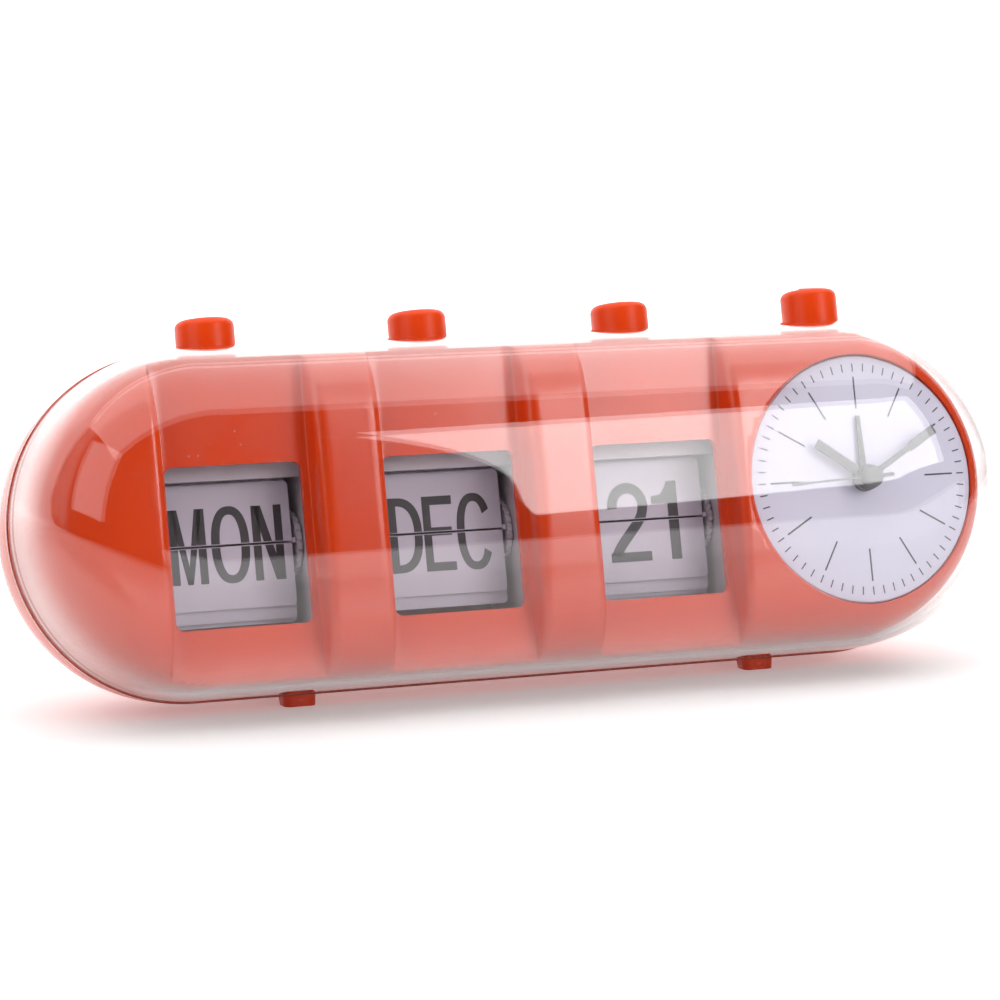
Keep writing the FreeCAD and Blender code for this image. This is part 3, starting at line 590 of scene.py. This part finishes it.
def makeFascia():
    # shell, then the collar and posts trimmed to it, then the dial's mouth, windows, pilots and button holes
    shell = makeObject("fascia", makeMesh("fascia", *makeFasciaShell()))
    bore, flare, flareY, clear = fascia["bore"], fascia["flare"], fascia["flareY"], fascia["clear"]
    rear, collarFront, collarRear = fascia["rear"], fascia["collarFront"], fascia["collarRear"]
    outer, inside = bore + fascia["collarWall"], bore - 2
    ring = [(outer, collarFront), (outer, collarRear), (inside, collarRear), (inside, collarFront)]
    block = makeObject("innerBlock", makeMesh("innerBlock", *turned(ring, (dialX, 0, 0), "y", 128)))
    posts = []
    for x, z in postSpots:
        low, r = fascia["postFront"] if x < endX else fascia["endPostFront"], fascia["postRadius"]
        post = turned([(0, low), (r, low), (r, rear), (0, rear)], (x, 0, z), "y", 32)
        posts.append(fasciaTool("innerTool", post, "UNION"))
    carve(block, posts)
    carve(block, [fasciaTool("solidTool", makeFasciaSolid(), "INTERSECT")])
    mouth = [(0, clear), (0, collarRear + 1), (bore, collarRear + 1)]
    mouth += [(bore + flare - flare * math.cos(a), flareY - flare * math.sin(a))
              for a in np.radians(np.linspace(0, 90, 10))]
    mouth += [(bore + flare, clear)]
    cuts = [fasciaTool("mouth", turned(mouth, (dialX, 0, 0), "y", 160), "DIFFERENCE")]
    for x in unitX.values():
        half = fascia["windowHalf"]
        window = roundedBlock(x - half, x + half, fascia["windowLow"], fascia["windowHigh"],
                              *fascia["windowY"], fascia["windowCorner"])
        cuts.append(fasciaTool("window", window, "DIFFERENCE"))
    (low, high), r = fascia["pilotY"], fascia["pilotRadius"]
    for x, z in postSpots:
        pilot = turned([(0, low), (r, low), (r, high), (0, high)], (x, 0, z), "y", 24)
        cuts.append(fasciaTool("pilot", pilot, "DIFFERENCE"))
    return carve(shell, [(block, "UNION")] + cuts + buttonHoles(), 30)


place(makeFascia(), "case", "orange_shell", finish["orange_shell"], "front_fascia")
print("fascia done")

# push buttons
button = dict(radius=7.0, fillet=1.9, top=47.6, alarmTop=49.2, flange=8.1, skirtLow=34.3, stem=2.0, bore=5.4,
              stemLow=23.0, alarmStemLow=30.6, roof=2.2, bevel=0.3, ridgeHalf=2.6, ridgeDeep=0.6,
              ridgeLow=0.4, ridgeHigh=0.7, ridgeCorner=0.5)


def makeButton(name, x, top, stemLow, ridge=False):
    # turned profile: flat top, rolled edge, straight side with a small fillet, thin flange and a stem inside
    r, f = button["radius"], button["fillet"]
    profile = [(0, top), (r - f - 1.5, top)] + arc(r - f, top - f, f, 90, 0, 10)
    profile += [(r, 36.0)] + arc(r + 0.5, 35.8, 0.5, 180, 270, 4)
    profile += [(button["flange"] - 0.2, 35.3), (button["flange"], 35.1),
                (button["flange"], button["skirtLow"]),
                (button["bore"], button["skirtLow"]), (button["bore"], top - button["roof"]),
                (button["stem"], top - button["roof"]), (button["stem"], stemLow + button["bevel"]),
                (button["stem"] - button["bevel"], stemLow), (0, stemLow)]
    mesh = makeMesh(name, *turned(profile, (x, cover["buttonY"], 0), "z", 96), 34)
    piece = makeObject(name, mesh)
    if ridge:
        half, deep, y = button["ridgeHalf"], button["ridgeDeep"], cover["buttonY"]
        raised = roundedBlock(x - half, x + half, top - button["ridgeLow"], top + button["ridgeHigh"],
                              y - deep, y + deep, button["ridgeCorner"])
        carve(piece, [(makeObject("ridge", makeMesh("ridge", *raised)), "UNION")], 34)
    return piece


for name, x in unitX.items():
    place(makeButton(name + "Button", x, button["top"], button["stemLow"]), name + "_press", "orange_button",
          finish["orange_button"], name + "_button")
place(makeButton("alarmButton", endX, button["alarmTop"], button["alarmStemLow"], True), "alarm_press",
      "orange_button", finish["orange_button"], "alarm_button")
print("buttons done")

# cards and their print
# ink is the print's thickness, lift the air under it, cut its distance from the card's edge, and nextY and
# nextZ the place of the card behind the front one
card = dict(front=leafY - 0.2, ink=0.04, lift=0.002, upperLow=splitZ + 0.25, lowerHigh=splitZ - 0.25,
            cut=0.15, nextY=0.6, nextZ=0.4)


def quad(*corners):
    return np.array([corners], float)


def stroke(path, width):
    # a strip of quads of constant width along a path in x and z
    path = np.asarray(path, float)
    ahead = np.gradient(path, axis=0)
    ahead /= np.linalg.norm(ahead, axis=1)[:, None]
    normal = np.stack([-ahead[:, 1], ahead[:, 0]], -1) * width / 2
    a, b = path + normal, path - normal
    return np.stack([a[:-1], a[1:], b[1:], b[:-1]], 1)


def bowl(cx, cz, halfWide, halfTall, width, tallWidth, start, end, power=2.3, steps=48):
    # band between two superellipses
    angle = np.radians(np.linspace(start, end, steps))
    c, s = superellipse(angle, power)
    outer = np.stack([cx + halfWide * c, cz + halfTall * s], -1)
    inner = np.stack([cx + (halfWide - width) * c, cz + (halfTall - tallWidth) * s], -1)
    return np.stack([outer[:-1], outer[1:], inner[1:], inner[:-1]], 1)


def bar(x0, x1, z0, z1):
    return quad((x0, z0), (x1, z0), (x1, z1), (x0, z1))


def letterM(x0, low, high):
    return [bar(x0, x0 + 1.95, low, high), bar(x0 + 6.9, x0 + 8.85, low, high),
            quad((x0 + 0.5, high), (x0 + 2.3, high), (x0 + 5.1, low), (x0 + 3.75, low)),
            quad((x0 + 6.55, high), (x0 + 8.35, high), (x0 + 5.1, low), (x0 + 3.75, low))]


def letterN(x0, low, high):
    return [bar(x0, x0 + 1.95, low, high), bar(x0 + 5.45, x0 + 7.4, low, high),
            quad((x0 + 0.3, high), (x0 + 2.35, high), (x0 + 7.1, low), (x0 + 5.05, low))]


def letterO(x0, low, high, wide=9.3):
    return [bowl(x0 + wide / 2, (low + high) / 2, wide / 2, (high - low) / 2 + 0.25,
                 2.1, 1.95, 0, 360, 2.35, 72)]


def letterD(x0, low, high):
    return [bar(x0, x0 + 2.0, low, high),
            bowl(x0 + 1.9, (low + high) / 2, 6.4, (high - low) / 2, 2.0, 1.95, -90, 90, 2.5)]


def letterE(x0, low, high, wide=7.7):
    middle = (low + high) / 2 + 0.55
    return [bar(x0, x0 + 2.0, low, high), bar(x0 + 2.0, x0 + wide - 0.1, high - 2.1, high),
            bar(x0 + 2.0, x0 + wide - 0.5, middle - 1.0, middle + 1.0),
            bar(x0 + 2.0, x0 + wide, low, low + 2.1)]


def letterC(x0, low, high):
    return [bowl(x0 + 4.5, (low + high) / 2, 4.5, (high - low) / 2 + 0.25, 2.0, 1.95, 33, 327, 2.35, 60)]


def letterT(x0, low, high):
    return [bar(x0, x0 + 8.0, high - 2.1, high), bar(x0 + 3.0, x0 + 5.0, low, high - 2.1)]


def letterU(x0, low, high, wide=8.4):
    middle = low + 4.6
    return [bar(x0, x0 + 2.0, middle, high), bar(x0 + wide - 2.0, x0 + wide, middle, high),
            bowl(x0 + wide / 2, middle, wide / 2, 4.7, 2.0, 1.95, 180, 360, 2.3)]


def letterJ(x0, low, high):
    return [bar(x0 + 4.6, x0 + 6.6, low + 4.4, high),
            bowl(x0 + 3.3, low + 4.4, 3.3, 4.6, 2.0, 1.95, 195, 360, 2.3)]


def letterA(x0, low, high):
    return [quad((x0 + 3.3, high), (x0 + 5.1, high), (x0 + 1.9, low), (x0, low)),
            quad((x0 + 3.5, high), (x0 + 5.3, high), (x0 + 8.6, low), (x0 + 6.7, low)),
            bar(x0 + 1.9, x0 + 6.8, low + 4.6, low + 6.5)]


def digit2(x0, low, high):
    # hook and shoulder on an ellipse, then a long bend down to the foot bar
    angle = np.radians(np.linspace(187, -20, 34))
    hook = np.stack([x0 + 5.35 + 4.05 * np.cos(angle), high - 5.55 + 4.35 * np.sin(angle)], -1)
    a, d = hook[-1], np.array([x0 + 1.45, low + 1.4])
    b, c = a + (-0.5, -3.0), d + (1.1, 3.4)
    t = np.linspace(0, 1, 24)[1:, None]
    fall = (1 - t) ** 3 * a + 3 * (1 - t) ** 2 * t * b + 3 * (1 - t) * t ** 2 * c + t ** 3 * d
    return [stroke(np.vstack([hook, fall]), 2.55), bar(x0, x0 + 10.8, low, low + 2.35)]


def digit1(x0, low, high):
    # stem, flag to the left and the corner that joins them
    return [bar(x0 + 4.3, x0 + 7.0, low, high),
            quad((x0, high - 3.5), (x0, high - 5.4), (x0 + 4.3, high - 5.4), (x0 + 4.3, high - 3.1)),
            quad((x0 + 2.4, high - 3.3), (x0 + 4.3, high - 3.4), (x0 + 4.3, high), (x0 + 4.0, high - 1.2))]


def word(low, high, *letters):
    # strokes of a line of print, each letter given as its maker and its left edge
    return [strokes for make, left in letters for strokes in make(left, low, high)]


# what each display shows now and what its next card shows, with the foot and head of each line
texts = {
    "day": (word(-14.4, 3.2, (letterM, -13.7), (letterO, -3.6), (letterN, 6.6)),
            word(-14.4, 3.2, (letterT, -12.6), (letterU, -4.2), (letterE, 5.6))),
    "month": (word(-15.0, 3.0, (letterD, -12.7), (letterE, -4.0), (letterC, 4.5)),
              word(-15.0, 3.0, (letterJ, -12.2), (letterA, -4.3), (letterN, 5.4))),
    "date": (word(-15.9, 3.4, (digit2, -9.2), (digit1, 2.6)),
             word(-15.9, 3.4, (digit2, -11.6), (digit2, 0.4))),
}


def printHalf(name, strokes, centre, front, upper, flip=False, drop=0.0):
    # raised ink: strokes laid on the card, cut at the split, given a little thickness
    corners = np.vstack(strokes)
    points, faces = slabs(corners, front - card["ink"], front - card["lift"])
    mesh = bpy.data.meshes.new(name)
    mesh.from_pydata(points.tolist(), [], faces.tolist())
    bm = bmesh.new()
    bm.from_mesh(mesh)
    bmesh.ops.remove_doubles(bm, verts=bm.verts, dist=1e-5)
    level = card["upperLow"] + card["cut"] if upper else card["lowerHigh"] - card["cut"]
    bmesh.ops.bisect_plane(bm, geom=bm.verts[:] + bm.edges[:] + bm.faces[:], plane_co=(0, 0, level),
                           plane_no=(0, 0, -1 if upper else 1), clear_outer=True)
    rim = [e for e in bm.edges if e.is_boundary]
    bmesh.ops.holes_fill(bm, edges=rim, sides=0)
    bmesh.ops.recalc_face_normals(bm, faces=bm.faces)
    bm.to_mesh(mesh)
    bm.free()
    flat = np.empty(len(mesh.vertices) * 3)
    mesh.vertices.foreach_get("co", flat)
    flat = flat.reshape(-1, 3)
    if flip:
        # turned about the split onto the back of the card that has yet to fall
        flat[:, 2] = 2 * splitZ - flat[:, 2]
        flat[:, 1] = 2 * leafY - flat[:, 1]
    flat[:, 0] += centre
    flat[:, 2] += drop
    mesh.vertices.foreach_set("co", toRow(flat).ravel())
    mesh.update()
    return makeObject(name, mesh)


for name, x in unitX.items():
    now, following = texts[name]
    front, flap = card["front"], name + "_flap"
    place(printHalf(name + "UpperPrint", now, x, front, True), flap, "leaf_white", printInk)
    place(printHalf(name + "BackPrint", following, x, front, False, flip=True), flap, "leaf_white", printInk)
    place(printHalf(name + "LowerPrint", now, x, front, False), "case", "leaf_white", printInk)
    place(printHalf(name + "NextPrint", following, x, front + card["nextY"], True, drop=card["nextZ"]),
          "case", "leaf_white", printInk)
print("print done")

# dial
dial = dict(radius=30.4, front=-23.0, thick=1.0, edge=0.25, ink=0.03, lift=0.002, tickOuter=28.56,
            tickInner=0.93, hourOuter=0.885, hourInner=0.607, tickHalf=0.16, hourHalf=0.21, bore=2.6)


def radialBars(degrees, inner, outer, half):
    # thin bars on spokes, degrees clockwise from twelve
    angle = np.radians(np.atleast_1d(degrees))[:, None]
    out = np.concatenate([np.sin(angle), np.cos(angle)], 1)
    side = np.concatenate([np.cos(angle), -np.sin(angle)], 1) * half
    corners = np.stack([out * inner - side, out * inner + side, out * outer + side, out * outer - side], 1)
    return corners + np.array([dialX, 0.0])


def makeDial():
    # thin disc with a broken front edge and a hole for the spindle
    r, front, bore, edge = dial["radius"], dial["front"], dial["bore"], dial["edge"]
    rear = front + dial["thick"]
    profile = [(bore, front), (r - edge, front), (r, front + edge), (r, rear), (bore, rear)]
    return makeObject("dialPlate", makeMesh("dialPlate", *turned(profile, (dialX, 0, 0), "y", 160)))


def makeDialPrint():
    # sixty short marks at the edge and twelve long ones inside them, the two a narrow gap apart
    outer = dial["tickOuter"]
    minutes = radialBars(np.arange(60) * 6, outer * dial["tickInner"], outer, dial["tickHalf"])
    hours = radialBars(np.arange(12) * 30, outer * dial["hourInner"], outer * dial["hourOuter"],
                       dial["hourHalf"])
    points, faces = slabs(np.vstack([minutes, hours]), dial["front"] - dial["ink"],
                          dial["front"] - dial["lift"])
    return makeObject("dialPrint", makeMesh("dialPrint", points, faces))


place(makeDial(), "case", "dial_white", finish["dial_white"], "dial_plate")
place(makeDialPrint(), "case", "dial_white", dialInk)
print("dial done")

# hands
# degrees are clockwise from twelve at rest; an outline runs (across, along) from the spindle outwards
hands = {
    "alarm": dict(body="alarm_train", degrees=359.0, boss=3.3, bore=2.1, bossY=(-24.4, -23.5),
                  bladeY=(-24.1, -23.7), outline=[(-0.95, 0), (-0.55, 15.5), (0.55, 15.5), (0.95, 0)]),
    "hour": dict(body="hour_train", degrees=305.0, boss=3.2, bore=1.6, bossY=(-25.9, -24.6),
                 bladeY=(-25.5, -25.1), outline=[(-1.2, 0), (-1.2, 15.8), (1.2, 15.8), (1.2, 0)]),
    "minute": dict(body="minute_train", degrees=60.0, boss=3.0, bore=1.1, bossY=(-27.4, -26.1),
                   bladeY=(-27.0, -26.6),
                   outline=[(-0.7, 0), (-0.7, 13.4), (-1.15, 13.4), (-1.15, 22.1),
                            (1.15, 22.1), (1.15, 13.4), (0.7, 13.4), (0.7, 0)]),
    "second": dict(body="second_train", degrees=267.5, boss=2.7, bore=0.6, bossY=(-29.5, -27.6),
                   bladeY=(-28.4, -28.1),
                   outline=[(-0.5, -6.0), (-0.5, 0), (-0.25, 1), (-0.25, 18), (-0.4, 18), (-0.4, 22),
                            (0.4, 22), (0.4, 18), (0.25, 18), (0.25, 1), (0.5, 0), (0.5, -6.0)]),
}
edgeBreak, bossSteps, closedBore = 0.06, 72, 0.7


def makeHand(name, shape):
    # flat blade with broken edges joined to a turned boss; a bore under closedBore is left as a capped boss
    angle = math.radians(shape["degrees"])
    outline = np.array(shape["outline"], float)
    y0, y1 = shape["bladeY"]
    shrunk = outline - np.sign(outline - outline.mean(0)) * edgeBreak
    rings = [(shrunk, y0), (outline, y0 + edgeBreak), (outline, y1 - edgeBreak), (shrunk, y1)]
    loops = []
    for ring, y in rings:
        x = ring[:, 0] * math.cos(angle) + ring[:, 1] * math.sin(angle)
        z = -ring[:, 0] * math.sin(angle) + ring[:, 1] * math.cos(angle)
        loops.append(np.column_stack([x + dialX, np.full(len(x), y), z]))
    count = len(outline)
    points = np.vstack(loops)
    faces = gridFaces(4, count, wrap=True).tolist() + [list(range(count)), list(range(3 * count, 4 * count))]
    blade = makeObject(name, makeMesh(name, points, faces, 30))
    low, high = shape["bossY"]
    r, bore = shape["boss"], shape["bore"]
    profile = [(bore, low), (r - 0.3, low), (r, low + 0.3), (r, high - 0.15), (r - 0.15, high), (bore, high)]
    if name == "secondHand":
        profile = [(0, low), (r - 0.7, low), (r - 0.2, low + 0.25), (r, low + 0.7), (r, high - 0.15),
                   (r - 0.15, high), (bore, high), (bore, low + 0.8), (0, low + 0.8)]
    solid = turned(profile, (dialX, 0, 0), "y", bossSteps)
    carve(blade, [(makeObject("boss", makeMesh("boss", *solid, 30)), "UNION")], 30)
    if bore > closedBore:
        hole = turned([(0, -40), (bore, -40), (bore, 0), (0, 0)], (dialX, 0, 0), "y", bossSteps)
        carve(blade, [(makeObject("bore", makeMesh("bore", *hole)), "DIFFERENCE")], 30)
    return blade


for name, shape in hands.items():
    place(makeHand(name + "Hand", shape), shape["body"], "hand_grey", finish["hand_grey"], name + "_hand")
print("hands done")

# nodes kept from the frame
slotOf = {item["node"]: item["material_slot"] for item in frame["record"]["subparts"]}
roundNodes = ["rear_shell", "battery_door", "case_screws", "time_knob", "alarm_knob", "battery_cell"]
rear = dict(radius=41.0, depth=36.0, power=2.6, seam=1.5, skinGap=0.12, facing=0.9)


def domeNormals(points):
    # gradient of the rear dome's superellipse, and how far each point lies off that surface
    offset = np.stack([np.sign(points[:, 0]) * np.maximum(np.abs(points[:, 0]) - endX, 0), points[:, 2]], -1)
    reach = np.linalg.norm(offset, axis=1)
    depth = np.maximum(points[:, 1] - rear["seam"], 0)
    level = (reach / rear["radius"]) ** rear["power"] + (depth / rear["depth"]) ** rear["power"]
    radial = (reach / rear["radius"]) ** (rear["power"] - 1) / rear["radius"]
    back = (depth / rear["depth"]) ** (rear["power"] - 1) / rear["depth"]
    spread = offset / np.maximum(reach, 1e-9)[:, None] * radial[:, None]
    normal = np.stack([spread[:, 0], back, spread[:, 1]], -1)
    size = np.linalg.norm(normal, axis=1)
    gap = np.abs(level - 1) / np.maximum(size * rear["power"], 1e-12)
    return normal / np.maximum(size, 1e-12)[:, None], gap


def smoothCopy(node, angle=28, dome=False):
    # welded copy of a node's own surface, shaded smooth; faces on the rear dome take its exact normals
    mesh = nodes[node].data.copy()
    mesh.name = node + "_smooth"
    finishMesh(mesh, angle)
    if dome:
        corners = np.array([corner.vector for corner in mesh.corner_normals])
        owner = np.empty(len(mesh.loops), int)
        mesh.loops.foreach_get("vertex_index", owner)
        flat = np.empty(len(mesh.vertices) * 3)
        mesh.vertices.foreach_get("co", flat)
        local = (flat.reshape(-1, 3) - caseOrigin) @ clockAxes.T * 1000
        normals, gap = domeNormals(local)
        sides = [len(polygon.vertices) for polygon in mesh.polygons]
        faceOf = np.repeat(np.arange(len(mesh.polygons)), sides)
        faceNormal = np.empty(len(mesh.polygons) * 3)
        mesh.polygons.foreach_get("normal", faceNormal)
        wanted = normals[owner] @ clockAxes
        along = np.einsum("ij,ij->i", faceNormal.reshape(-1, 3)[faceOf], wanted)
        onSkin = (gap[owner] < rear["skinGap"]) & (along > rear["facing"])
        corners[onSkin] = wanted[onSkin]
        mesh.normals_split_custom_set(corners.tolist())
    return makeObject(node + "_smooth", mesh)


for node in nodes:
    slot = slotOf[node]
    if node in roundNodes:
        copy = smoothCopy(node, dome=node in ("rear_shell", "battery_door"))
        place(copy, bodyOf[node], slot, finish[slot], node)
    elif not nodes[node].hide_render:
        nodes[node].data.materials.clear()
        nodes[node].data.materials.append(finish[slot])
print("kept nodes finished")

# floor, light and view
# metres and watts in the row's frame; the floor bends up into the backdrop from bendStart over bendRadius
studio = dict(floorColour=(0.92, 0.92, 0.92, 1), floorGlow=0.24, backdropGlow=0.9, cardGlow=0.42, sky=0.04,
              left=-3.0, right=7.0, front=-5.0, bendStart=1.2, bendRadius=0.8, top=4.0, glowStart=0.1,
              glowEnd=0.9)


def makeSweep():
    # floor that bends up into a backdrop along a quarter circle
    bend = np.radians(np.linspace(0, 90, 24))[1:]
    start, radius = studio["bendStart"], studio["bendRadius"]
    y = np.concatenate([[studio["front"], start], start + radius * np.sin(bend), [start + radius]])
    z = np.concatenate([[0, 0], radius - radius * np.cos(bend), [studio["top"]]])
    x = np.array([studio["left"], studio["right"]])
    rows = [np.repeat(x[None], len(y), 0), np.repeat(y[:, None], 2, 1), np.repeat(z[:, None], 2, 1)]
    mesh = bpy.data.meshes.new("sweep")
    faces = gridFaces(len(y), 2)[:, ::-1]
    mesh.from_pydata(np.stack(rows, -1).reshape(-1, 3).tolist(), [], faces.tolist())
    mesh.shade_smooth()
    return makeObject("sweep", mesh)


def makeStageFinish(name, colour, glow):
    material, tree, shader, where = startMaterial(name)
    link = tree.links.new
    tooth = addNode(tree, "TexNoise", Scale=220.0, Detail=4.0)
    link(where, tooth.inputs["Vector"])
    relief = addNode(tree, "Bump", Strength=0.05, Distance=0.0005)
    link(tooth.outputs["Fac"], relief.inputs["Height"])
    link(relief.outputs["Normal"], shader.inputs["Normal"])
    setInputs(shader, Base_Color=colour, Roughness=0.7, Emission_Color=(1, 1, 1, 1), Emission_Strength=glow)
    return material


def makeSweepFinish():
    # paper whose glow grows from the floor to the backdrop, so that both come out equally pale
    material = makeStageFinish("sweepPaper", studio["floorColour"], studio["floorGlow"])
    tree = material.node_tree
    split = addNode(tree, "SeparateXYZ")
    tree.links.new(tree.nodes["Texture Coordinate"].outputs["Object"], split.inputs[0])
    glow = mapRange(tree, split.outputs["Y"], studio["glowStart"], studio["glowEnd"], studio["floorGlow"],
                    studio["backdropGlow"])
    tree.links.new(glow, tree.nodes["Principled BSDF"].inputs["Emission Strength"])
    return material


sweep = makeSweep()
sweep.data.materials.append(makeSweepFinish())


def makeBounceCard():
    # low white card standing in front of the clock, beyond the edge of the view
    points = [(-0.2, -1.62, 0.0), (1.6, -1.0, 0.0), (1.6, -1.0, 0.30), (-0.2, -1.62, 0.25)]
    mesh = bpy.data.meshes.new("bounceCard")
    mesh.from_pydata(points, [], [(0, 3, 2, 1)])
    return makeObject("bounceCard", mesh)


bounceCard = makeBounceCard()
bounceCard.data.materials.append(makeStageFinish("cardPaper", studio["floorColour"], studio["cardGlow"]))


def addLight(name, position, aim, wide, tall, power):
    light = bpy.data.lights.new(name, "AREA")
    light.shape, light.size, light.size_y, light.energy = "RECTANGLE", wide, tall, power
    lamp = bpy.data.objects.new(name, light)
    bpy.context.scene.collection.objects.link(lamp)
    lamp.location = position
    lamp.rotation_euler = (Vector(aim) - Vector(position)).to_track_quat("-Z", "Y").to_euler()
    return lamp


clockHeart = (0, 0, 0.045)


def around(azimuth, elevation, distance, base=clockHeart):
    # a point at a distance from the clock, its azimuth counted towards +x from straight ahead
    a, e = math.radians(azimuth), math.radians(elevation)
    towards = np.array([math.sin(a) * math.cos(e), -math.cos(a) * math.cos(e), math.sin(e)])
    return tuple(np.array(base) + distance * towards)


lamps = {
    "overhead": dict(position=(0.1, -0.1, 1.2), aim=(0.1, -0.1, 0), wide=2.4, tall=1.5, power=19.0),
    "strip": dict(position=around(34, 23.5, 1.6), aim=clockHeart, wide=0.62, tall=0.5, power=4.8),
    "side": dict(position=around(-72, 28, 1.3), aim=clockHeart, wide=0.9, tall=0.8, power=3.8),
}
for name, lamp in lamps.items():
    addLight(name, **lamp)

world = bpy.data.worlds.new("room")
world.use_nodes = True
setInputs(world.node_tree.nodes["Background"], Color=(1, 1, 1, 1), Strength=studio["sky"])
bpy.context.scene.world = world
bpy.context.scene.view_settings.view_transform = "Standard"

# target and distance in the clock's millimetres, angles in degrees from straight ahead
view = dict(target=(-9.727, -18.5, 0.407), distance=852.113, yaw=22.461, pitch=4.272, roll=-5.155, lens=129.6)


def addCamera():
    # looks along yaw and pitch in the clock's own axes, then rolls about the line of sight
    yaw, pitch, roll = (math.radians(view[k]) for k in ("yaw", "pitch", "roll"))
    ahead = np.array([math.sin(yaw) * math.cos(pitch), math.cos(yaw) * math.cos(pitch), math.sin(pitch)])
    right = np.array([math.cos(yaw), -math.sin(yaw), 0.0])
    above = np.cross(right, ahead)
    cameraX = right * math.cos(roll) + above * math.sin(roll)
    cameraY = -right * math.sin(roll) + above * math.cos(roll)
    data = bpy.data.cameras.new("viewCamera")
    data.lens, data.sensor_width = view["lens"], 36.0
    data.clip_start, data.clip_end = 0.01, 50.0
    camera = bpy.data.objects.new("viewCamera", data)
    bpy.context.scene.collection.objects.link(camera)
    axes = np.array([cameraX, cameraY, -ahead]) @ clockAxes
    turn = Matrix([list(row) for row in axes.T]).to_4x4()
    spot = toRow(np.array(view["target"]) - ahead * view["distance"])
    camera.matrix_world = Matrix.Translation(Vector(spot)) @ turn
    bpy.context.scene.camera = camera


addCamera()
print("studio ready")
